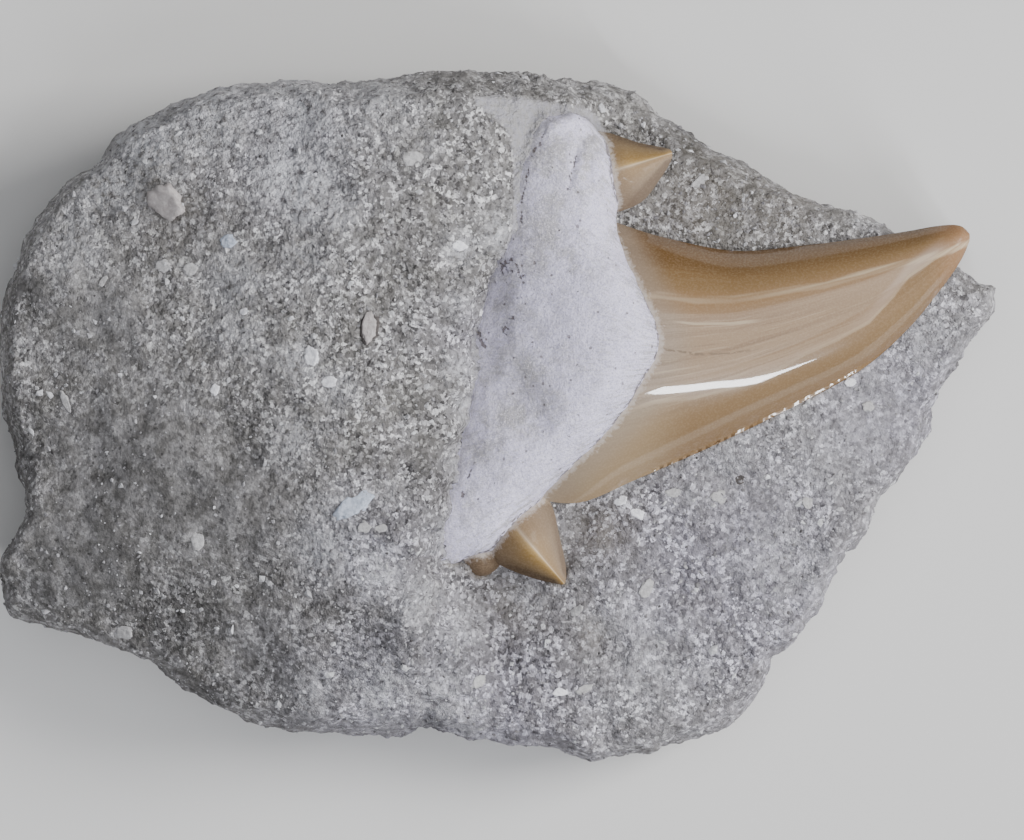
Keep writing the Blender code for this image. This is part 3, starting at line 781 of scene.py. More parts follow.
@dataclass
class SharkTooth:
    """The tooth, grown as one piece: root, crown, two cusplets and a tiny extra one."""

    root: Rows = (
        (-6, -17.6, 17.6, -8.6, -16.6, 18.4, 0.6, 0.6),
        (-3.4, -16.6, 16.8, -9.2, -13.9, 18.4, 3.2, 2.6),
        (0.6, -15.2, 16.6, -9, -9.8, 18, 5.2, 4),
        (5, -9.4, 18.6, -8, -3.4, 17.4, 6.6, 5),
        (12.1, -2.6, 21.2, -7, 1.6, 17, 7.4, 5.4),
        (16.9, 3.8, 22.6, -6.6, 5, 16.6, 7.8, 5.6),
        (19.3, 9.4, 23, -6.4, 10, 16.6, 8, 5.6),
        (17.3, 15, 22.6, -5, 15, 16.6, 7.8, 5.4),
        (14.4, 21.4, 20.6, -3.4, 20.6, 16.8, 7.6, 5),
        (14.2, 26.8, 18.6, -1.6, 26, 18.4, 7.4, 4.4),
        (14, 31.2, 18, 0.4, 31.6, 19.4, 6.6, 3.4),
        (11.2, 35.2, 18.2, 3.2, 35.6, 19.6, 4.2, 2.2),
        (8.8, 37, 18.6, 6.8, 37.2, 18.4, 0.8, 0.6),
    )
    crown: Rows = (
        (12, 24.4, 17.4, 4.2, -9.6, 17.4, 6.6, 2.4),
        (15.2, 23.2, 17.4, 9.8, -10, 17.3, 6.9, 2.4),
        (20.2, 21.7, 17.4, 16.6, -7.2, 17.2, 6.9, 2.3),
        (28.2, 20.2, 17.2, 26.4, -2.9, 16.9, 6.3, 2.1),
        (36.2, 20.8, 16.9, 35.8, 1.7, 16.7, 5.3, 1.8),
        (43.4, 21.7, 16.7, 43.6, 6, 16.6, 4.2, 1.5),
        (48.7, 22.5, 16.7, 48.9, 10.6, 16.6, 3.2, 1.2),
        (52.8, 23.2, 16.9, 52.6, 15, 16.7, 2.3, 1),
        (55.3, 23.2, 17, 55.3, 18.8, 16.9, 1.4, 0.8),
        (56.5, 22.2, 17, 56.5, 21.4, 17, 0.1, 0.1),
    )
    upper_cusplet: Rows = (
        (8.4, 34.8, 17.6, 10.6, 24.4, 17.6, 2.8, 1),
        (12.8, 34.4, 17.6, 14.5, 24.9, 17.6, 3.9, 1.6),
        (16.6, 33.2, 17.5, 17.3, 26.2, 17.5, 3.4, 1.4),
        (19.1, 32.7, 17.3, 19.2, 28.6, 17.3, 2.4, 1),
        (20.4, 32.4, 17.1, 20.3, 30.3, 17.1, 1.3, 0.6),
        (20.8, 31.9, 17, 20.8, 31.4, 17, 0.1, 0.1),
    )
    lower_cusplet: Rows = (
        (5, -8, 17.2, -3, -13.3, 17.2, 2.5, 1.2),
        (6.5, -10.8, 17.2, -1, -16.7, 17.2, 4.2, 1.8),
        (7.2, -13.8, 17.1, 1.6, -18.2, 17.1, 3.9, 1.6),
        (7.8, -16.4, 16.9, 4.4, -19.2, 16.9, 2.6, 1.2),
        (8.1, -18.5, 16.7, 6.5, -19.7, 16.7, 1.3, 0.7),
        (7.9, -19.8, 16.6, 7.6, -19.9, 16.6, 0.1, 0.1),
    )
    side_denticle: Rows = (
        (-0.4, -14.4, 16.9, -4.1, -14.8, 16.9, 1.5, 0.8),
        (0.2, -16.2, 16.9, -4.9, -15.9, 16.9, 1.8, 0.8),
        (0.1, -17.5, 16.7, -4.7, -17.2, 16.7, 1.7, 0.8),
        (-0.9, -18.5, 16.5, -3.6, -18.4, 16.5, 0.9, 0.5),
        (-1.9, -18.9, 16.3, -2.6, -18.9, 16.3, 0.1, 0.1),
    )
    # Cracks and dips of the root: the line that one follows, its half width and its depth.
    fissures: tuple[tuple[Rows, float, float], ...] = (
        (((9.5, 32.4), (9.2, 30.6), (8.4, 27.6)), 0.3, 0.26),
        (((11.6, 32.2), (11, 30.4), (10.6, 28.6)), 0.6, 0.4),
        (((10, 33.4), (9.4, 31.4)), 1, 0.5),
        (((7.6, 26.3), (9.4, 26)), 0.5, 0.22),
        (((2.2, 2.6), (3.4, 0.6), (4, -0.4)), 2.6, 0.9),
        (((-0.4, 16), (-0.9, 12), (-1, 8)), 1.6, 0.3),
        (((6, 34.6), (9, 35.8), (12, 35)), 0.7, -0.45),
    )
    # Two lines along the crown: the pale growth line, and the crest where it bends to its lower edge.
    growth_line: Rows = (
        (15, 14.2), (19, 14.8), (23.4, 14.2), (27.8, 14.3), (31.4, 14.8), (35.2, 15.5), (39, 16),
        (43, 17.2), (52.8, 19.7), (57, 21.4),
    )
    crest_line: Rows = (
        (10, -1), (18.5, 2), (23.4, 2.6), (31.2, 4.6), (36.7, 7.8), (40.3, 9.4), (44.3, 11.6),
        (46.8, 14.3), (49.2, 17.2), (52.8, 19.6), (57, 21.2),
    )
    # The crown lies between these two y, and the cusplets beyond them. In x it starts here and is so long.
    crown_span: tuple[float, float] = (-10.2, 24.2)
    crown_start: float = 15.0
    crown_length: float = 41.0
    # The root's streaks run towards this point, under the crown.
    fan_centre: tuple[float, float] = (31.0, 7.0)
    # The bevel of the crown's lower edge: where it starts and ends in x, its slope and its facets' pitch.
    bevel_span: tuple[float, float] = (15.0, 48.0)
    bevel_slope: float = 0.46
    facet_pitch: float = 1.4
    # Greyer places on the root, weather-worn dentine together with painted shade on its left side, along its
    # right edge and in the lobe's groove: x, y, radius, strength.
    weathered_and_painted_shade: Rows = (
        (-0.6, 12, 7, 0.52), (3.6, 4.4, 4.6, 0.78), (1.4, 0.6, 3.8, 0.85), (-0.6, 6, 4, 0.6),
        (5.5, 32, 5, 0.74), (7.6, 27.4, 4.2, 0.72), (5, 21.6, 5.4, 0.68), (8.8, 18.6, 3.6, 0.45),
        (-1, 17, 3.4, 0.66), (-1.6, -4.6, 3, 0.66), (-3.6, -10, 2.4, 0.4), (10.6, 31.3, 0.9, 0.9),
        (10.3, 30, 0.8, 0.95), (9.9, 28.7, 0.8, 0.9), (13.4, 22, 1.4, 0.4), (16.6, 15.5, 1.4, 0.35),
        (11.2, 33.2, 1.5, 0.9),
    )
    # The crack between the root's upper lobe and the skin of rock beside it.
    seam: Rows = ((5.6, 34.8), (4.9, 33.0), (3.9, 31.2), (3.5, 29.5), (2.7, 25.6), (2.6, 21.1))
    # Thin dark cracks in the root, and how wide they look.
    cracks: tuple[tuple[Rows, float], ...] = (
        (((9.4, 32.1), (9.2, 31), (9, 30.2), (8.6, 29), (8.4, 27.8)), 0.10),
        (((8.2, 27.3), (8.6, 27.2)), 0.16),
        (((-0.6, 18.5), (0.6, 18.4), (1.4, 18.9), (2.4, 18.2), (2.3, 17.4), (3.4, 16.9)), 0.21),
        (((0.6, 18.4), (1, 17.6), (2.3, 17.4)), 0.18),
        (((0.4, 18.2), (0.1, 17), (-0.9, 15.6), (-1.4, 14.5), (-1.6, 13.6)), 0.2),
        (((-1.6, 13.6), (-2.4, 12.4), (-2.5, 11), (-2.2, 9.6), (-1.7, 8.6)), 0.24),
        (((4.1, 20.6), (3.3, 20.1), (2.4, 19.6)), 0.14),
        (((1.6, 12.1), (0.8, 11.5), (-1.2, 10.2)), 0.12),
        (((-3, -5.4), (-3.6, -7), (-4.4, -9.4)), 0.2),
        (((1.3, 10.6), (1, 10.9), (0.5, 10.7), (0.4, 10.3), (0.9, 10.2), (1.3, 10.5)), 0.12),
        (seam, 0.12),
    )
    # Small open pits of the root: x, y, radius.
    pits: Rows = (
        (1.6, 12, 0.26), (2.3, 14.4, 0.20), (-0.2, 7.2, 0.2), (4.1, 20.5, 0.22), (1.2, 22.6, 0.2),
        (2.6, 16.9, 0.24), (-2.6, 5.2, 0.22), (0.4, 20, 0.24), (5.2, 9.2, 0.14),
    )

    def parts(self) -> list[ToothPart]:
        """The parts, in the order in which they are joined."""
        return [
            ToothPart("root", Side.DENTINE, self.root, 190, 230, 2.2, 0.55, 0.12),
            ToothPart("crown", Side.ENAMEL, self.crown, 150, 200, 2.5),
            ToothPart("upper_cusplet", Side.ENAMEL, self.upper_cusplet, 64, 52, 2.1),
            ToothPart("lower_cusplet", Side.ENAMEL, self.lower_cusplet, 64, 52, 1.85),
            ToothPart("side_denticle", Side.ENAMEL, self.side_denticle, 32, 24, 2.0),
        ]

    def weather(self, root: Piece) -> None:
        """Gives the root its cracks, dips and chalky unevenness."""
        points, normals = mesh_points(root.data), mesh_rows(root.data, "normal")
        streak, reach = self.streaks_of(points)
        depth = lumps(points, 5.0, 0.22) + lumps(points, 1.3, 0.10, 3)
        depth += lumps(np.column_stack([streak * 1.1, reach * 0.14, points[:, 2] * 0.1]), 1.0, 0.09)
        shown = smooth_step((normals[:, 2] - 0.1) / 0.3)
        places = strayed(points, 1.2, 0.22)
        for path, half_width, deep in self.fissures:
            away = distance_to_path(places, path)
            depth -= shown * deep * np.exp(-((away / half_width) ** 2))
        move_points(root.data, points + normals * depth[:, None])

    def edge(self, crown: Piece) -> None:
        """Turns the crown's lower cutting edge into a narrow bevel, finely notched towards the root."""
        points = mesh_points(crown.data)
        table = np.array(self.crown)
        x = points[:, 0]
        off = distance_to_path(points[:, :2], tuple(map(tuple, table[:, 3:5])))
        base = np.interp(x, table[:, 3], table[:, 5])
        start, end = self.bevel_span
        shown = smooth_step((x - start) / 5.0) * smooth_step((end - x) / 6.0)
        facet = (x + 0.35 * np.sin(x * 1.7)) % self.facet_pitch / self.facet_pitch - 0.5
        fine = -(0.055 + 0.035 * smooth_step((32.0 - x) / 6.0)) * facet
        notch = 1 - (0.15 + 0.5 * smooth_step((34.0 - x) / 8.0)) * (np.sin(x * 8.2) > 0.55)
        bevel = base + (0.56 * shown + fine) * notch + self.bevel_slope * off
        edged = (off < 0.9) & (points[:, 2] > base - 0.02) & (shown > 0)
        points[:, 2] = np.where(edged, np.maximum(points[:, 2], bevel), points[:, 2])
        move_points(crown.data, points)

    def streaks_of(self, points: np.ndarray) -> tuple[np.ndarray, np.ndarray]:
        """In millimetres, which streak of the root each point is on, and how far along it."""
        x, y = self.fan_centre[0] - points[:, 0], points[:, 1] - self.fan_centre[1]
        return np.arctan2(y, x) * 24.0, np.hypot(x, y)

    def mark(self, tooth: Piece) -> None:
        """Keeps on the tooth the places that its finishes read."""
        mesh, points = tooth.data, mesh_points(tooth.data)
        sides = np.empty(len(mesh.polygons), np.int32)
        mesh.polygons.foreach_get("material_index", sides)
        first = {}
        border = set()
        for face, side in zip(mesh.polygons, sides):
            for corner in face.vertices:
                if first.setdefault(corner, side) != side:
                    border.add(corner)
        tree = KDTree(len(border))
        for corner in border:
            tree.insert(mesh.vertices[corner].co, corner)
        tree.balance()
        neck = np.array([tree.find(vertex.co)[2] for vertex in mesh.vertices]) / MM
        x, y = points[:, 0], points[:, 1]
        table = np.array(self.crown)
        upper, lower = np.interp(x, table[:, 0], table[:, 1]), np.interp(x, table[:, 3], table[:, 4])
        across = (y - lower) / np.maximum(upper - lower, 0.5)
        along = (x - self.crown_start) / self.crown_length
        below, above = y < self.crown_span[0], y > self.crown_span[1]
        for rows, near, flip in ((self.upper_cusplet, above, 1), (self.lower_cusplet, below, -1)):
            base, tip = np.array(rows[1]), np.array(rows[-1])
            low, high = base[3:5], base[0:2]
            reach = tip[:2] - (low + high) / 2
            share = np.clip(((points[:, :2] - (low + high) / 2) @ reach) / (reach @ reach), 0, 1)
            wide = (high - low) / (np.hypot(*(high - low)) ** 2)
            place = ((points[:, :2] - (low + high) / 2 - share[:, None] * reach) @ wide)
            place = 0.5 + flip * place / np.maximum(1 - share, 0.15)
            across, along = np.where(near, place, across), np.where(near, share * 0.8, along)
        paint(mesh, "neck", np.minimum(neck, FAR_OFF))
        for name, line in (("growth", self.growth_line), ("crest", self.crest_line)):
            off = y - np.interp(x, *np.array(line).T)
            paint(mesh, name, np.where(above | below, FAR_OFF, off))
        paint(mesh, "across", np.clip(across, 0, 1))
        paint(mesh, "along", np.clip(along, 0, 1))
        streak, reach = self.streaks_of(points)
        paint(mesh, "streak", streak * MM)
        paint(mesh, "reach", reach * MM)
        paint(mesh, "small", (above | below) * 1.0)
        # Greyer places, partly painted shade.
        paint(mesh, "weathered_and_painted_shade", blots(points, self.weathered_and_painted_shade))
        cracked = cracked_places(points, self.cracks, 1.0, 0.30)
        for at_x, at_y, radius in self.pits:
            away = np.hypot(x - at_x, y - at_y) / radius
            cracked = np.maximum(cracked, np.exp(-(away**4)))
        paint(mesh, "cracked", cracked)

    def build(self) -> Piece:
        """The tooth as one closed mesh with both finishes."""
        pieces = [part.build() for part in self.parts()]
        self.weather(pieces[0])
        self.edge(pieces[1])
        for finish in (Dentine().material(), Enamel().material()):
            for piece in pieces:
                piece.data.materials.append(finish)
        tooth = combined(pieces[0], pieces[1:], "UNION", "shark_tooth")
        self.mark(tooth)
        tooth.data.set_sharp_from_angle(angle=math.radians(32))
        return tooth


# --- The rock ---------------------------------------------------------------------------------


@dataclass
class RockLump:
    """The lump of rock: its plan, the faces of its top, its broken sides and its flat base."""

    plan: Rows = (
        (59.9, 15.2), (59.2, 12.4), (55.9, 8), (53.5, 4.6), (52.2, 1.4), (51.6, -1.6), (49.5, -5.3),
        (46.2, -9.2), (44.1, -13.4), (41.2, -17.2), (38.6, -22.8), (36.2, -26.4), (33, -28.6),
        (31.4, -33), (27.9, -36.4), (25.2, -37.9), (20.2, -39.4), (18.8, -40.2), (14.2, -40.4),
        (11.2, -41.6), (8.6, -40.4), (4.9, -39.3), (-1.2, -38.8), (-8.2, -37.5), (-13.8, -37.9),
        (-19.4, -37.7), (-25.2, -37.4), (-31.4, -35.9), (-37.3, -32.6), (-40.8, -29.5), (-47, -27.3),
        (-53, -25.3), (-58.8, -23.6), (-59.7, -20.4), (-59.9, -17.2), (-57.6, -12.8), (-56.9, -9.8),
        (-58, -4.2), (-59.4, 1), (-59.9, 7), (-59.4, 13.8), (-57.6, 19.6), (-55.6, 24.3), (-52.9, 27.7),
        (-48.8, 30.6), (-45.6, 34.1), (-42.6, 36), (-38, 38.2), (-33.5, 39.8), (-27.4, 40.5),
        (-20.4, 40.4), (-13.9, 41), (-4.8, 41.5), (4.6, 41.1), (12.2, 40), (16.8, 39.5), (19.6, 36.8),
        (23, 34.4), (29, 30.8), (34.9, 27.4), (40, 25.6), (45.2, 24.2), (49.6, 21.6), (54.4, 18.4),
        (57.5, 16.7), (59.4, 16.2),
    )
    centre: tuple[float, float] = (-1.5, 0.0)
    # A face of the top: a point on it, x, y, z, and its rise along X and along Y.
    hump: Rows = (
        (-15, 12, 30.2, 0.02, 0.01), (-26, 6, 30, 0.33, -0.05), (-20, -15, 29.6, 0.27, 0.38),
        (-12, -25, 29, 0.02, 0.72), (-15, 31, 30, 0.02, -0.34), (-46, 24, 23.4, 0.30, -0.32),
        (-8, 6, 29.6, -0.45, 0.00),
    )
    shelf: Rows = (
        (15, 0, 17.2, -0.04, 0.01), (30, 25, 16.7, -0.04, -0.20), (20, -26, 16.8, -0.05, 0.14),
    )
    # How softly one face runs into the next, and how many times the chalky skin is smoothed.
    blend: float = 4.0
    skin_strokes: int = 6
    # The low lip of rock along the upper edge of the crown and of its cusplet.
    lip: Rows = ((17.0, 25.0), (24.0, 22.6), (30.0, 21.6), (36.0, 22.0), (43.0, 22.8), (47.0, 23.4))
    # Where the hump breaks off to the shelf: at y, the top of the ledge and its foot in x.
    ledge: Rows = (
        (42, -8, 19), (33, -2.4, 15.6), (27, -0.4, 10), (23, 0.8, 8.2), (20.8, 0, 6.4), (18.4, -2.6, 3.6),
        (14, -4.6, 1.4), (8, -6, 0.6), (2, -6.2, 0.6), (-8, -8.4, -3), (-16, -10.6, -4.9),
        (-22, -11, -3.6), (-29, -13, 1), (-34, -20, 4), (-41, -26, 8),
    )
    # Hollows, and with a negative depth mounds: x, y, radius, depth.
    hollows: Rows = (
        (0.5, -22, 4.6, 2.2), (9.8, -12.6, 3, 1.3), (12, -27, 3, 0.8), (18, 25, 3, 0.6),
        (28, -7.5, 3.2, 0.7), (-52, -4, 7, 1.2), (-36, 14, 6, 0.8), (-24, -24, 6, -1), (3, 36, 3.4, -1.6),
        (-11.5, -19, 3, 1), (-3, 9, 2.4, 0.7), (8.4, 37.6, 3, -2.6), (-14.5, -26.5, 4, 1),
        (-30.5, -4, 4.5, 0.7),
    )
    # The broken sides: direction in degrees, height of the widest level, run in for each mm down.
    sides: Rows = (
        (0, 7, 0.90), (25, 10.5, 0.35), (60, 8, 0.20), (90, 11.5, 0.30), (125, 14, 0.50),
        (155, 8.5, 0.80), (188, 10.5, 0.25), (212, 13, 0.75), (245, 7.5, 0.25), (278, 10, 0.60),
        (310, 6.5, 0.30), (338, 9, 0.55), (360, 7, 0.90),
    )
    # How wide the rounding over of the top is, and at which share of it the grid of the top ends.
    shoulder: tuple[float, float] = (1.6, 3.4)
    brow: float = 0.62
    # Above this height a place counts as the rock's top.
    top_from: float = 12.0
    # Where the rock can touch the root: above this height, and within half widths of a middle x and y.
    root_from: float = 14.0
    root_zone: tuple[float, float, float, float] = (3.0, 15.0, 10.0, 30.0)
    cells: int = 216
    shoulder_levels: int = 14
    side_levels: int = 14
    # The smoother ground beside the crown: x, y, radius.
    smooth_near: tuple[float, float, float] = (30.0, 10.0, 20.0)
    # Paler places on the rock, real dusting together with painted light on the lit top rim, ledge crest and
    # shelf: x, y, radius, strength, as in the next four tables.
    dust_and_painted_light: Rows = (
        (-34, 37, 6, 0.85), (-25, 38, 6, 0.8), (-15, 38.5, 5, 0.55), (-42, 33.5, 5, 0.9),
        (-26, 29.4, 3.8, 1.2), (-23, 28, 3.8, 1.25), (-19.5, 25, 3, 0.8), (-23.4, 36, 4, 1.2),
        (-19.5, 33, 3, 0.5), (-46, 28.6, 5, 0.7), (-51, 22, 4.5, 0.45), (-31, 16.5, 3.4, 0.6),
        (-31, 10.4, 3.4, 0.5), (-23, 19, 3.2, 0.45), (-9.5, 32.3, 2.5, 0.3), (-24, 7.1, 2.4, 0.7),
        (-19.2, 3.5, 2.2, 0.6), (-24, -2.5, 2.6, 0.55), (-19.2, -10.9, 2.6, 0.55),
        (-20.5, -15.4, 3.6, 0.7), (-14.3, -18, 3, 0.7), (-9.5, -21.7, 3.2, 0.6), (-4.7, -25.3, 3, 0.65),
        (-14, -32.5, 4, 0.7), (-7, -33, 4, 0.55), (-4.5, -36, 3, 0.55), (-22, -33, 3, 0.5),
        (-5.6, -14, 2.6, 0.8), (-4.6, 6, 1.8, 0.8), (-3.6, 1.2, 1.6, 0.8), (-4.6, 13.5, 1.6, 0.6),
        (-4.4, 20.2, 2, 0.7), (0.2, 22, 2.4, 0.7), (-5, -5, 1.8, 0.5), (-12.5, -9, 2, 0.35),
        (38, -6, 8, 0.25), (44, 2, 6, 0.25), (28.5, -3.5, 5.5, 0.45), (51.5, 10.5, 4.5, 0.45),
        (18, -30, 7, 0.4), (34, -17.5, 6, 0.45), (14, -24.5, 3.5, 0.35), (23, -9.5, 3, 0.3),
        (-23, 25.5, 2.8, 1.1), (-46.4, 13, 3, 0.2), (38, -17, 3, 0.4), (34.5, 1, 2, 0.6),
        (15, -6.6, 1.4, 0.8), (3.6, -21.6, 2.2, 0.5), (-0.5, -16, 2, 0.5), (-35, 33, 4, 0.4),
    )
    # Darker ground: painted shade on slopes turned from the light, in the hollow under the lower cusplet and
    # beside the pebble, with some darker stone.
    shades: Rows = (
        (-46, -9, 13, 0.84), (-34, -9, 9, 0.84), (-48, 9, 8, 0.58), (-30.5, -5, 4.5, 0.92),
        (-30, -16, 8, 0.76), (-48, -18, 10, 0.98), (-54, 0, 6, 0.68), (-38, -24, 9, 0.98),
        (-27, -30, 7, 0.72), (-16, -25.5, 4.5, 0.8), (-15.5, -28.4, 4.5, 0.9), (-26, -37, 6, 0.6),
        (-10, -37.5, 4, 0.3), (-54, -20, 6, 0.95), (-27, 3, 4.5, 0.35), (-7, -28.6, 4, 0.75),
        (3.6, -28.4, 3.6, 0.5), (-0.4, -21, 3.2, 0.8), (-8, -2, 2.8, 0.4), (-6.5, -12.6, 3.4, 0.65),
        (-15.7, -13, 3.2, 0.7), (-55, 13.5, 4, 0.7), (-23.4, -16.9, 3, 0.55), (-4.2, -9, 2.2, 0.55),
        (-11.9, 29.2, 2.8, 0.42), (-11.9, 17.6, 2.6, 0.4), (-5.5, 37, 3.4, 0.5), (-2.6, 21.5, 2, 0.4),
        (-15.7, -5.4, 2.6, 0.4), (-8, 13.8, 2.6, 0.4), (-8, 21.5, 2.6, 0.35), (27, 26, 8, 0.25),
        (22.7, 33, 3.6, 0.9), (49.6, 21.6, 3, 0.6), (53.4, 19.5, 3, 0.4), (0, 38.6, 4, 0.4),
        (11, -17.2, 2.6, 0.4), (15, -13, 2.4, 0.3), (-4, 39, 4, 0.3), (-55, -4, 7, 0.85),
        (-35, -33, 5, 1), (-31, 0, 4.6, 0.75), (-19.6, -21.8, 3, 0.8), (-12, -28.6, 4.6, 0.7),
        (-8, -36.4, 2.8, 1), (-22, -25, 4, 0.5), (-8, -6, 3, 0.6), (-8, 2.3, 2.4, 0.5),
        (18.5, 21.5, 2.6, 0.4), (-55, -17, 6, 0.85), (-38.8, 24.2, 3, 0.6),
    )
    # Ground whose grains stand out less.
    quiet: Rows = (
        (-43, -6, 15, 1), (-34, -10, 11, 0.95), (-48, 12, 11, 0.75), (-50, -16, 10, 1),
        (-35, 20, 12, 0.42), (46, -1, 14, 0.68), (30, -12, 10, 0.5), (18, -24, 10, 0.42),
        (-30, -26, 10, 0.6),
    )
    # Ground with a colder cast, mostly painted for the cooler light that falls from the lower side.
    cool: Rows = (
        (28, -18, 20, 1), (48, 2, 14, 0.9), (0, -34, 16, 0.9), (-14, -34, 12, 0.8), (-14, -16, 9, 0.7),
        (-25, 32, 9, 0.5), (-3, 10, 6, 0.5),
    )
    # Brown stains.
    stains: Rows = (
        (24, 26, 9, 0.55), (34, 24.5, 6, 0.5), (12.5, -13.5, 3.5, 0.6), (2, -21, 4, 0.4),
        (11.5, -26, 2.6, 0.5), (-40, 25.5, 4.5, 0.4),
    )
    # The chalky skin that spreads from the root's upper lobe over the rock: its outline.
    skin: Rows = (
        (-2.8, 37.9), (0.8, 34.6), (1.6, 31.4), (2.2, 28.6), (2.6, 24), (2.4, 19), (4, 17), (9, 24),
        (12.6, 33), (12.2, 35.6), (10.6, 37), (6, 37.9), (1, 38.6),
    )

    def __post_init__(self) -> None:
        """Works out how far the rim is from the centre in each direction."""
        curve = closed_curve(self.plan, 12) - np.array(self.centre)
        angle = np.arctan2(curve[:, 1], curve[:, 0])
        order = np.argsort(angle)
        self._angles, self._reaches = angle[order], np.hypot(*curve.T)[order]

    def reach(self, angle: np.ndarray) -> np.ndarray:
        """How far the rim is from the centre in those directions."""
        return np.interp(angle, self._angles, self._reaches, period=2 * math.pi)

    def direction(self, points: np.ndarray) -> np.ndarray:
        """The direction of each point from the centre."""
        return np.arctan2(points[:, 1] - self.centre[1], points[:, 0] - self.centre[0])

    def place(self, angle: np.ndarray, out: np.ndarray) -> tuple[np.ndarray, np.ndarray]:
        """The x and y that are that far out from the centre in those directions."""
        return self.centre[0] + out * np.cos(angle), self.centre[1] + out * np.sin(angle)

    def inset(self, points: np.ndarray) -> np.ndarray:
        """How far each point is in from the rim."""
        out = np.hypot(points[:, 0] - self.centre[0], points[:, 1] - self.centre[1])
        return self.reach(self.direction(points)) - out

    def side_at(self, angle: np.ndarray) -> tuple[np.ndarray, np.ndarray]:
        """The height of the widest level in those directions, and how the side below runs in."""
        degrees, heights, undercuts = np.array(self.sides, float).T
        turn = np.degrees(angle) % 360
        return np.interp(turn, degrees, heights), np.interp(turn, degrees, undercuts)

    def shoulder_at(self, angle: np.ndarray) -> np.ndarray:
        """How wide the rounding over of the top is in those directions."""
        return self.shoulder[0] + (self.shoulder[1] - self.shoulder[0]) * np.sin(angle) ** 2

    def lowest(self, faces: Rows, x: np.ndarray, y: np.ndarray) -> np.ndarray:
        """The height of a top made of planes, each blended softly into the next."""
        height = None
        for x0, y0, z0, rise_x, rise_y in faces:
            plane = z0 + rise_x * (x - x0) + rise_y * (y - y0)
            if height is None:
                height = plane
                continue
            near = np.maximum(0.0, 1.0 - np.abs(plane - height) / self.blend)
            height = np.minimum(plane, height) - near * near * self.blend / 4
        return height

    def ledge_at(self, y: np.ndarray) -> tuple[np.ndarray, np.ndarray]:
        """Where the top of the ledge and its foot are in x, at y."""
        steps, crests, feet = np.array(self.ledge[::-1]).T
        return np.interp(y, steps, crests), np.interp(y, steps, feet)

    def broad_height(self, x: np.ndarray, y: np.ndarray) -> np.ndarray:
        """The height of the rock's top at x, y, away from its rim."""
        crest, foot = self.ledge_at(y)
        flat = np.column_stack([x, y, np.zeros_like(x)])
        ragged = lumps(flat + 60, 2.8, 0.9) * smooth_step((20.0 - y) / 3.0)
        down = smooth_step((x + ragged - crest) / (foot - crest))
        height = (1 - down) * self.lowest(self.hump, x, y) + down * self.lowest(self.shelf, x, y)
        for hollow_x, hollow_y, radius, depth in self.hollows:
            height -= depth * np.exp(-((x - hollow_x) ** 2 + (y - hollow_y) ** 2) / radius**2)
        away = distance_to_path(np.column_stack([x, y]), self.lip)
        height += 0.7 * np.exp(-((away / 1.4) ** 2))
        near_x, near_y, near = self.smooth_near
        rough = 0.35 + 0.65 * smooth_step(np.hypot(x - near_x, y - near_y) / near - 0.5)
        height += rough * lumps(flat, 11.0, 0.8)
        return height + rough * lumps(flat + (0, 0, 7), 3.6, 0.4)

    def rim_height(self, x: np.ndarray, y: np.ndarray, share: np.ndarray,
                   angle: np.ndarray) -> np.ndarray:
        """The height at x, y, where share is how far the top has come up from the rim, 0 to 1."""
        low, _ = self.side_at(angle)
        return low + (self.broad_height(x, y) - low) * share

    def shell(self) -> Piece:
        """The lump before it is roughened: the top, its shoulders, the sides and the base."""
        shape = bmesh.new()
        rim_layer = shape.verts.layers.float_vector.new("rim")
        bmesh.ops.create_grid(shape, x_segments=self.cells, y_segments=self.cells, size=1)
        grid = np.array([vertex.co for vertex in shape.verts])
        u, v = grid[:, 0], grid[:, 1]
        disc_x, disc_y = u * np.sqrt(1 - v * v / 2), v * np.sqrt(1 - u * u / 2)
        angle = np.arctan2(disc_y, disc_x)
        reach, width = self.reach(angle), self.shoulder_at(angle)
        out = np.minimum(np.hypot(disc_x, disc_y), 1.0) * (reach - self.brow * width)
        x, y = self.place(angle, out)
        z = self.rim_height(x, y, self.rounded((reach - out) / width), angle)
        for vertex, point in zip(shape.verts, np.column_stack([x, y, z]) * MM):
            vertex.co = point
        rim = [edge for edge in shape.edges if edge.is_boundary]
        for edge in rim:
            for corner in edge.verts:
                corner[rim_layer] = corner.co
        rise = float(self.rounded(np.array([self.brow]))[0])
        for k in range(1, self.shoulder_levels + 1):
            level = rise * (1 - k / self.shoulder_levels)
            rim = self.next_level(shape, rim, rim_layer, self.shoulder_points, level)
        for k in range(1, self.side_levels + 1):
            rim = self.next_level(shape, rim, rim_layer, self.side_points, 1 - k / self.side_levels)
        bmesh.ops.contextual_create(shape, geom=rim)
        bmesh.ops.recalc_face_normals(shape, faces=shape.faces)
        face_outwards(shape)
        bmesh.ops.triangulate(shape, faces=[face for face in shape.faces if len(face.verts) > 4])
        return from_bmesh("rock_lump", shape)

    @staticmethod
    def rounded(share: np.ndarray) -> np.ndarray:
        """How far the top has come up at a share of the shoulder's width."""
        return (1 - (1 - np.minimum(share, 1.0)) ** 2.2) ** 0.6

    @staticmethod
    def unrounded(rise: float) -> float:
        """The share of the shoulder's width at which the top has come up that far."""
        return 1 - (1 - rise ** (1 / 0.6)) ** (1 / 2.2)

    def next_level(self, shape: BMesh, rim: list, layer: object, place: object,
                   level: float) -> list:
        """Extrudes the rim once more and puts the new corners where place says.

        Args:
            shape: The mesh that grows.
            rim: Its open edges.
            layer: The layer that holds where each corner was on the top's edge.
            place: A method that takes the corners' first places and the level.
            level: How far down this level is.

        Returns:
            The new open edges.
        """
        grown = bmesh.ops.extrude_edge_only(shape, edges=rim)["geom"]
        corners = [part for part in grown if isinstance(part, BMVert)]
        first = np.array([corner[layer] for corner in corners]) / MM
        for corner, point in zip(corners, place(first, level) * MM):
            corner.co = point
        return [part for part in grown if isinstance(part, BMEdge)]

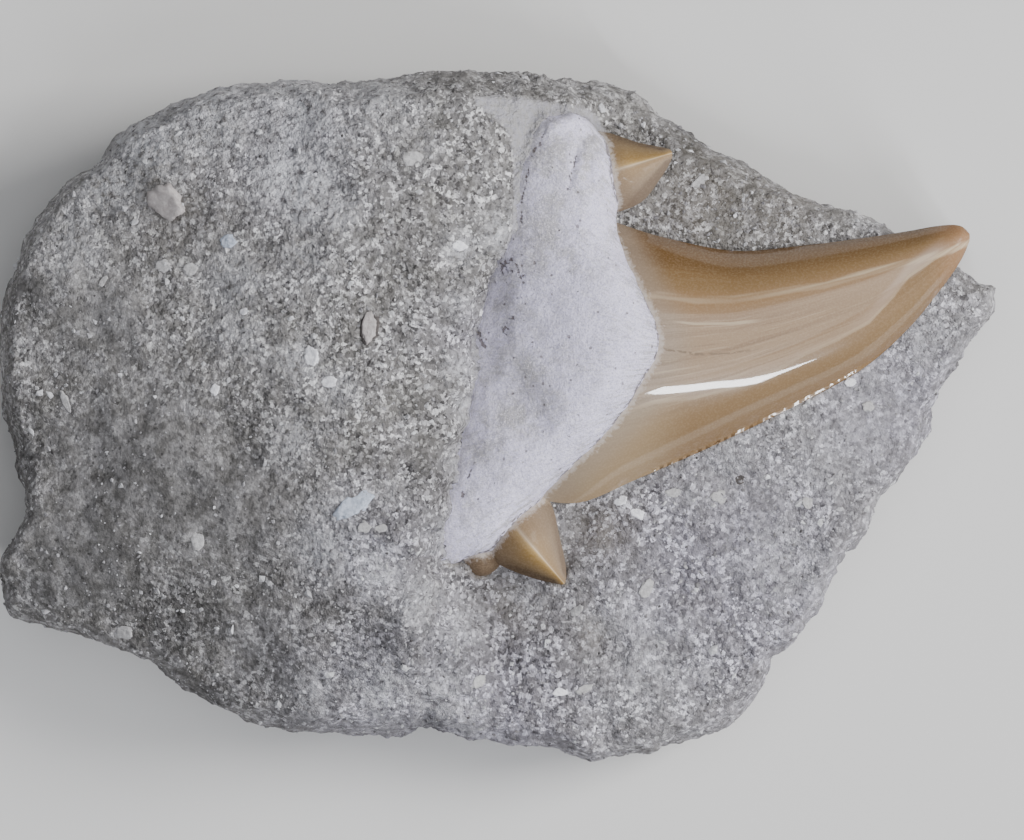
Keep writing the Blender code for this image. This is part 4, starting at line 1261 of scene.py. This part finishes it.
    def shoulder_points(self, first: np.ndarray, rise: float) -> np.ndarray:
        """The corners of one level of the shoulder."""
        angle = self.direction(first)
        out = self.reach(angle) - self.unrounded(rise) * self.shoulder_at(angle)
        x, y = self.place(angle, out)
        return np.column_stack([x, y, self.rim_height(x, y, rise, angle)])

    def side_points(self, first: np.ndarray, share: float) -> np.ndarray:
        """The corners of one level of the sides, at a share of the rim's height."""
        angle = self.direction(first)
        reach, (top, undercut) = self.reach(angle), self.side_at(angle)
        rim = np.column_stack([*self.place(angle, reach), share * top])
        down = 1 - share
        begun = min(1.0, down * 6)
        inwards = 0.5 * begun + undercut * down * top
        inwards += down * lumps(rim, 15.0, 2.4)
        inwards += begun * lumps(rim + (0, 0, 40), 5.0, 0.9)
        out = reach - np.maximum(inwards, 0.2 * begun)
        return np.column_stack([*self.place(angle, out), share * top])

    def roughen(self, rock: Piece) -> None:
        """Gives the lump its broken, sandy relief, all but its flat base."""
        points, normals = mesh_points(rock.data), mesh_rows(rock.data, "normal")
        steep = 1 - smooth_step((normals[:, 2] - 0.45) / 0.4)
        rim = np.maximum(1 - smooth_step(self.inset(points) / 4.5), steep)
        calm = 1 - 0.5 * blots(points, self.quiet)
        depth = calm * (lumps(points, 2.4, 0.24, 3) + lumps(points + 3, 1.2, 0.10))
        depth += rim * (lumps(points + 9, 6.0, 0.7, 3) + lumps(points, 1.6, 0.28))
        crest, foot = self.ledge_at(points[:, 1])
        at_ledge = np.exp(-((points[:, 0] - (crest + foot) / 2) / 5.0) ** 2)
        depth += at_ledge * (lumps(points + 21, 2.6, 0.7, 3) + lumps(points + 5, 1.2, 0.35, 3))
        depth += calm**2 * np.random.default_rng(7).normal(0, 0.04, len(points))
        depth *= smooth_step(points[:, 2] / 0.8)
        moved = points + normals * depth[:, None]
        moved[:, 2] = np.maximum(moved[:, 2], 0.0)
        move_points(rock.data, moved)

    def lap(self, rock: Piece, tooth: Piece) -> None:
        """Lets the rock lap onto the root in a smooth fillet, most of all beside its upper lobe."""
        tree = surface_tree(tooth.data)
        points = mesh_points(rock.data)
        skin = self.skin_at(points)
        sides = [face.material_index for face in tooth.data.polygons]
        middle_x, half_x, middle_y, half_y = self.root_zone
        near = (points[:, 2] > self.root_from) & (np.abs(points[:, 0] - middle_x) < half_x)
        near &= np.abs(points[:, 1] - middle_y) < half_y
        ragged = lumps(points + 17, 1.1, 0.30, 3) * (1 - 0.8 * skin)
        for i in np.flatnonzero(near):
            x, y, z = points[i]
            place, _, face, _ = dropped(tree, x, y)
            if place is None or sides[face] != Side.DENTINE.value:
                continue
            blend = 0.9 + 1.8 * skin[i]
            gap = z - place.z / MM
            close = max(0.0, 1.0 - abs(gap) / blend)
            if close > 0:
                points[i, 2] = max(z, place.z / MM) + close * close * blend / 4 - 0.14 + ragged[i]
        move_points(rock.data, points)
        shape = bmesh.new()
        shape.from_mesh(rock.data)
        smooth = [vertex for vertex, cover in zip(shape.verts, skin * near) if cover > 0.35]
        for _ in range(self.skin_strokes):
            bmesh.ops.smooth_vert(shape, verts=smooth, factor=0.5, use_axis_z=True)
        shape.to_mesh(rock.data)
        shape.free()

    def skin_at(self, points: np.ndarray) -> np.ndarray:
        """How far each point is within the chalky skin, from 0 to 1."""
        outline = closed_curve(self.skin, 6)
        inside = np.zeros(len(points), bool)
        for (x0, y0), (x1, y1) in zip(outline, np.roll(outline, -1, 0)):
            crosses = (y0 > points[:, 1]) != (y1 > points[:, 1])
            slope = (x1 - x0) / (y1 - y0 if y1 != y0 else 1e-9)
            inside ^= crosses & (points[:, 0] < x0 + slope * (points[:, 1] - y0))
        edge = distance_to_path(points, tuple(map(tuple, [*outline, outline[0]])))
        return smooth_step(0.5 + np.where(inside, edge, -edge) / 3.0)

    def mark(self, rock: Piece, tooth: BVHTree) -> None:
        """Keeps on the rock the places that its finish reads."""
        points = mesh_points(rock.data)
        top = points[:, 2] > self.top_from
        away = gaps(rock.data, tooth)
        paint(rock.data, "cracked", cracked_places(points, SharkTooth.cracks[2:], 0.9, 0.16) * top)
        left = smooth_step((5.0 - points[:, 0]) / 2.0) * (points[:, 1] > -17.0)
        powder = 0.8 * left * np.exp(-((away / 0.8) ** 2))
        paint(rock.data, "skin", np.maximum(self.skin_at(points), powder) * top)
        # Pale dusting, partly painted light.
        paint(rock.data, "dust_and_painted_light", blots(points, self.dust_and_painted_light) * top)
        paint(rock.data, "stain", blots(points, self.stains) * top)
        # Painted shade, on the top and the sides.
        paint(rock.data, "shade", blots(points, self.shades))
        # The colder cast painted for the cooler light.
        paint(rock.data, "cool", blots(points, self.cool))
        rim = smooth_step(1 - self.inset(points) / 5.0)
        paint(rock.data, "calm", np.maximum(blots(points, self.quiet), 0.6 * rim))
        # Distance from the tooth, for the painted contact shade; the left side is pushed out of its reach.
        paint(rock.data, "contact", away + 4.0 * left)

    def build(self, tooth: Piece) -> Piece:
        """The finished lump with a bed that fits the tooth.

        Args:
            tooth: The finished tooth.

        Returns:
            The rock as one closed mesh.
        """
        rock = self.shell()
        self.roughen(rock)
        self.lap(rock, tooth)
        cutter = link("bed_cutter", tooth.data.copy())
        rock.data.materials.append(SandRock().material())
        rock = combined(rock, [cutter], "DIFFERENCE", "rock_lump")
        material = rock.data.materials[0]
        rock.data.materials.clear()
        rock.data.materials.append(material)
        for face in rock.data.polygons:
            face.material_index = 0
        self.mark(rock, surface_tree(tooth.data))
        rock.data.shade_smooth()
        return rock


# --- The grains and clasts ----------------------------------------------------------------------


@dataclass
class ProudGrains:
    """Single sand grains that stand out of the rock's surface."""

    name: str
    count: int
    sizes: tuple[float, float]
    tones: tuple[float, float]
    seed: int

    def build(self, rock: Mesh, tooth: BVHTree) -> Piece:
        """Scatters the grains over the rock, clear of the tooth and the base.

        Args:
            rock: The finished rock.
            tooth: A search tree of the tooth's surface.

        Returns:
            All the grains as one piece.
        """
        draw = np.random.default_rng(self.seed)
        grain = bmesh.new()
        bmesh.ops.create_icosphere(grain, subdivisions=1, radius=0.5)
        ball = np.array([vertex.co for vertex in grain.verts])
        faces = np.array([[corner.index for corner in face.verts] for face in grain.faces])
        grain.free()
        area = np.empty(len(rock.polygons))
        rock.polygons.foreach_get("area", area)
        skin, calm = np.empty((2, len(rock.vertices)), np.float32)
        rock.attributes["skin"].data.foreach_get("value", skin)
        rock.attributes["calm"].data.foreach_get("value", calm)
        first = np.array([face.vertices[0] for face in rock.polygons])
        share = area * (1 - 0.65 * calm[first])
        spots = draw.choice(len(area), self.count * 2, p=share / share.sum())
        places, kept = [], []
        for spot in spots:
            face = rock.polygons[spot]
            corners = [rock.vertices[i].co for i in face.vertices]
            weights = draw.dirichlet(np.ones(len(corners)))
            point = sum((corner * w for corner, w in zip(corners, weights)), Vector())
            covered = skin[face.vertices[0]] > 0.4
            if covered or point.z < 0.8 * MM or tooth.find_nearest(point, 0.35 * MM)[0] is not None:
                continue
            places.append(point / MM)
            kept.append(face.normal.copy())
            if len(places) == self.count:
                break
        number = len(places)
        sizes = self.sizes[0] + (self.sizes[1] - self.sizes[0]) * draw.random(number) ** 2.6
        turns = np.array([Vector(draw.normal(size=3)).normalized().to_track_quat("Z", "Y").to_matrix()
                          for _ in range(number)])
        squash = 0.5 + 0.8 * draw.random((number, 1, 3))
        knocked = 1 + draw.uniform(-0.35, 0.35, (number, len(ball), 1))
        shape = ball[None] * knocked * squash * sizes[:, None, None]
        shape = np.einsum("nij,nkj->nki", turns, shape)
        sunk = np.array(kept) * (sizes * -0.22)[:, None]
        corners = shape + (np.array(places) + sunk)[:, None, :]
        mesh = bpy.data.meshes.new(self.name)
        joined = (faces[None] + (np.arange(number) * len(ball))[:, None, None]).reshape(-1, 3)
        mesh.from_pydata((corners.reshape(-1, 3) * MM).tolist(), [], joined.tolist())
        tone = self.tones[0] + (self.tones[1] - self.tones[0]) * draw.random(number)
        paint(mesh, "tone", np.repeat(tone, len(ball)))
        mesh.materials.append(LooseGrains().material())
        return link(self.name, mesh)


class Stone(Enum):
    """The kinds of clast in the rock."""

    PEBBLE = ClastStone("grey_brown_pebble", (0.44, 0.398, 0.388), (0.54, 0.505, 0.492), 0.6)
    CHALK = ClastStone("chalky_clast", (0.75, 0.745, 0.785), (0.94, 0.935, 0.965))
    BLUISH = ClastStone("bluish_shell", (0.43, 0.48, 0.57), (0.62, 0.67, 0.78))
    BUFF = ClastStone("buff_clast", (0.40, 0.39, 0.39), (0.53, 0.52, 0.52))
    DARK = ClastStone("dark_phosphate", (0.06, 0.053, 0.05), (0.12, 0.105, 0.10), 0.6)


@dataclass
class Clasts:
    """Pebbles, shell chips and rods that are set flush in the rock."""

    # Its stone, x, y, length, width, turn in degrees, how much of it stands out.
    places: tuple[tuple[Stone, float, float, float, float, float, float], ...] = (
        (Stone.PEBBLE, -39.5, 25.7, 4.6, 3.4, -18, 0.30),
        (Stone.BLUISH, -32.2, 21.1, 1.8, 1.5, 10, 0.15),
        (Stone.CHALK, -22.3, 7.4, 1.6, 2.3, 5, 0.15),
        (Stone.CHALK, -20.2, 4.4, 1.9, 1.2, 0, 0.12),
        (Stone.CHALK, -4.7, 20.6, 1.8, 1.1, -12, 0.15),
        (Stone.BLUISH, -17.3, -10.1, 4.6, 2.3, 35, 0.10),
        (Stone.BUFF, -16, -12.9, 1.7, 1.3, 10, 0.15),
        (Stone.BUFF, -14, -13, 1.4, 0.9, 0, 0.12),
        (Stone.BUFF, -40.1, 18.3, 1.9, 1.5, 0, 0.15),
        (Stone.BUFF, -36.7, 18, 1.7, 1.4, 0, 0.15),
        (Stone.CHALK, -30.3, 12.8, 1, 0.8, 0, 0.15),
        (Stone.CHALK, -33.8, 3.5, 1.1, 1.2, 0, 0.15),
        (Stone.BUFF, -35.9, -14.5, 1.6, 2, 0, 0.12),
        (Stone.BUFF, -51.8, 2, 0.8, 2.4, 28, 0.15),
        (Stone.BUFF, -47.3, 16.4, 0.7, 1.6, -35, 0.15),
        (Stone.BUFF, 24.1, 28.4, 2.2, 1.2, 35, 0.14),
        (Stone.BUFF, 17.6, -20.5, 1.3, 2.2, -25, 0.14),
        (Stone.CHALK, 7.6, -32.6, 2.5, 1, 28, 0.14),
        (Stone.BUFF, 10.3, -32.4, 2, 0.9, 20, 0.14),
        (Stone.BUFF, 9.1, -23.1, 1.9, 0.9, 30, 0.14),
        (Stone.BUFF, 44.4, 1.5, 1.5, 1.1, 0, 0.14),
        (Stone.BUFF, 37, -10.1, 1.2, 1.4, 0, 0.14),
        (Stone.CHALK, 42.2, 4.4, 1.3, 1, 15, 0.14),
        (Stone.DARK, 28.9, -7.3, 1.6, 1.1, 20, 0.05),
        (Stone.DARK, -15.4, 10.9, 1.9, 3.9, -12, 0.12),
        (Stone.PEBBLE, -15.4, 10.9, 1.45, 3.4, -12, 0.42),
        (Stone.BUFF, 21, -8.8, 2, 1.2, 12, 0.12),
        (Stone.BUFF, 26.5, -9.4, 1.9, 1.5, 0, 0.12),
        (Stone.CHALK, 14.6, -9.8, 1.4, 1.1, 30, 0.14),
        (Stone.CHALK, 16.6, -11.4, 1.7, 1, -20, 0.14),
        (Stone.BUFF, -2.4, -31.5, 2.2, 1.4, 20, 0.12),
        (Stone.BUFF, -10, 31, 2.4, 1.6, 0, 0.12),
        (Stone.BUFF, -45, -25.5, 2, 1.5, 0, 0.12),
    )

    def build(self, rock: BVHTree) -> list[Piece]:
        """Sets each clast in the rock's surface.

        Args:
            rock: A search tree of the rock's surface.

        Returns:
            One piece for each kind of stone.
        """
        made = []
        for stone in Stone:
            shape = bmesh.new()
            for number, (kind, x, y, length, width, turn, proud) in enumerate(self.places):
                if kind is not stone:
                    continue
                place, normal, _, _ = dropped(rock, x, y)
                thick = min(length, width) * 0.6
                seat = Matrix.Translation(place - normal * (thick * (0.34 - proud) - 0.02) * MM)
                right = (Vector((1, 0, 0)) - normal * normal.x).normalized()
                face = Matrix((right, normal.cross(right), normal)).transposed().to_4x4()
                spin = Matrix.Rotation(math.radians(turn), 4, "Z")
                size = Matrix.Diagonal((1.25 * length * MM, 1.25 * width * MM, thick * MM, 1))
                ball = bmesh.ops.create_icosphere(shape, subdivisions=4, radius=0.5)["verts"]
                draw = np.random.default_rng(100 + number)
                cuts = [(math.radians(61 * k) + draw.uniform(-0.4, 0.4), draw.uniform(0.33, 0.48))
                        for k in range(6)]
                for vertex in ball:
                    chip = vertex.co.copy()
                    for angle, limit in cuts:
                        side = Vector((math.cos(angle), math.sin(angle), 0))
                        chip -= side * max(0.0, chip.dot(side) - limit)
                    chip.z = max(-0.34, min(0.34, chip.z))
                    bumpy = 1 + 0.22 * noise.noise(vertex.co * 3.6 + Vector((number, 0, 0)))
                    bumpy += 0.16 * noise.noise(vertex.co * 9.0 + Vector((number, 9, 0)))
                    vertex.co = seat @ face @ spin @ size @ (chip * bumpy)
            for face in shape.faces:
                face.smooth = True
            piece = from_bmesh(stone.value.name, shape)
            piece.data.materials.append(stone.value.material())
            made.append(piece)
        return made


# --- The studio -------------------------------------------------------------------------------


@dataclass
class Studio:
    """The pale floor, the soft lights and the camera that looks straight down."""

    millimetres_per_pixel: float = 0.12
    middle: tuple[float, float] = (1.56, -0.12)
    focus_height: float = 17.0
    camera_height: float = 1200.0
    sensor: float = 36.0
    floor_size: float = 3.0

    def light(self, name: str, place: tuple[float, float, float], size: tuple[float, float],
              power: float, colour: Colour, roll: float = 0.0) -> None:
        """Adds an area light that faces the middle of the rock, rolled by that many degrees."""
        lamp = bpy.data.lights.new(name, "AREA")
        lamp.shape, lamp.size, lamp.size_y = "RECTANGLE", *size
        lamp.energy, lamp.color = power, colour
        item = bpy.data.objects.new(name, lamp)
        item.location = place
        facing = (Vector((0.01, 0, 0.02)) - Vector(place)).to_track_quat("-Z", "Y").to_matrix()
        item.rotation_euler = (facing @ Matrix.Rotation(math.radians(roll), 3, "Z")).to_euler()
        bpy.context.scene.collection.objects.link(item)

    def build(self) -> None:
        """Makes the floor, the lights, the sky and the camera."""
        shape = bmesh.new()
        bmesh.ops.create_grid(shape, x_segments=1, y_segments=1, size=self.floor_size / 2)
        floor = from_bmesh("floor", shape)
        floor.data.materials.append(PaleFloor().material())
        self.light("window", (0.76, 0.20, 0.58), (0.40, 0.40), 10.5, (1.0, 0.99, 0.98))
        self.light("tall_window", (0.4147, -0.5846, 0.7167), (0.050, 0.74), 6.0, (0.93, 0.95, 1.0), 2.7)
        self.light("ceiling", (0.0, 0.1, 1.5), (1.4, 1.4), 9.2, (0.97, 0.98, 1.0))
        world = bpy.data.worlds.new("soft_room")
        world.use_nodes = True
        world.node_tree.nodes["Background"].inputs["Color"].default_value = (0.86, 0.9, 1.0, 1)
        world.node_tree.nodes["Background"].inputs["Strength"].default_value = 0.14
        bpy.context.scene.world = world
        lens = bpy.data.cameras.new("camera")
        lens.sensor_width = self.sensor
        span = IMAGE_WIDTH * self.millimetres_per_pixel
        lens.lens = self.sensor * (self.camera_height - self.focus_height) / span
        lens.clip_start, lens.clip_end = 0.05, 10.0
        camera = bpy.data.objects.new("camera", lens)
        camera.location = Vector((*self.middle, self.camera_height)) * MM
        bpy.context.scene.collection.objects.link(camera)
        bpy.context.scene.camera = camera


def report(piece: Piece) -> None:
    """Lets a finished piece ride on the body named root, and logs its triangle count."""
    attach(piece, "root")
    piece.data.calc_loop_triangles()
    LOG.info("%s: %d triangles", piece.name, len(piece.data.loop_triangles))


def main() -> None:
    """Builds the tooth, the rock, the grains and the studio, in that order."""
    logging.basicConfig(level=logging.INFO, format="%(name)s %(message)s")
    tooth = SharkTooth().build()
    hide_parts("tooth")
    report(tooth)
    rock = RockLump().build(tooth)
    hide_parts("rock")
    report(rock)
    near_tooth = surface_tree(tooth.data)
    rock_tree = surface_tree(rock.data)
    # How far the tooth is from the rock, for the painted contact shade on the root.
    paint(tooth.data, "bed", gaps(tooth.data, rock_tree))
    for grains in (
        ProudGrains("middling_grains", 9600, (0.26, 0.66), (0.2, 0.84), 11),
        ProudGrains("pale_grains", 1400, (0.26, 1.2), (0.8, 1.0), 23),
        ProudGrains("dark_grains", 900, (0.26, 0.6), (0.0, 0.14), 37),
    ):
        report(grains.build(rock.data, near_tooth))
    for clast in Clasts().build(rock_tree):
        report(clast)
    Studio().build()


if __name__ == "__main__":
    main()
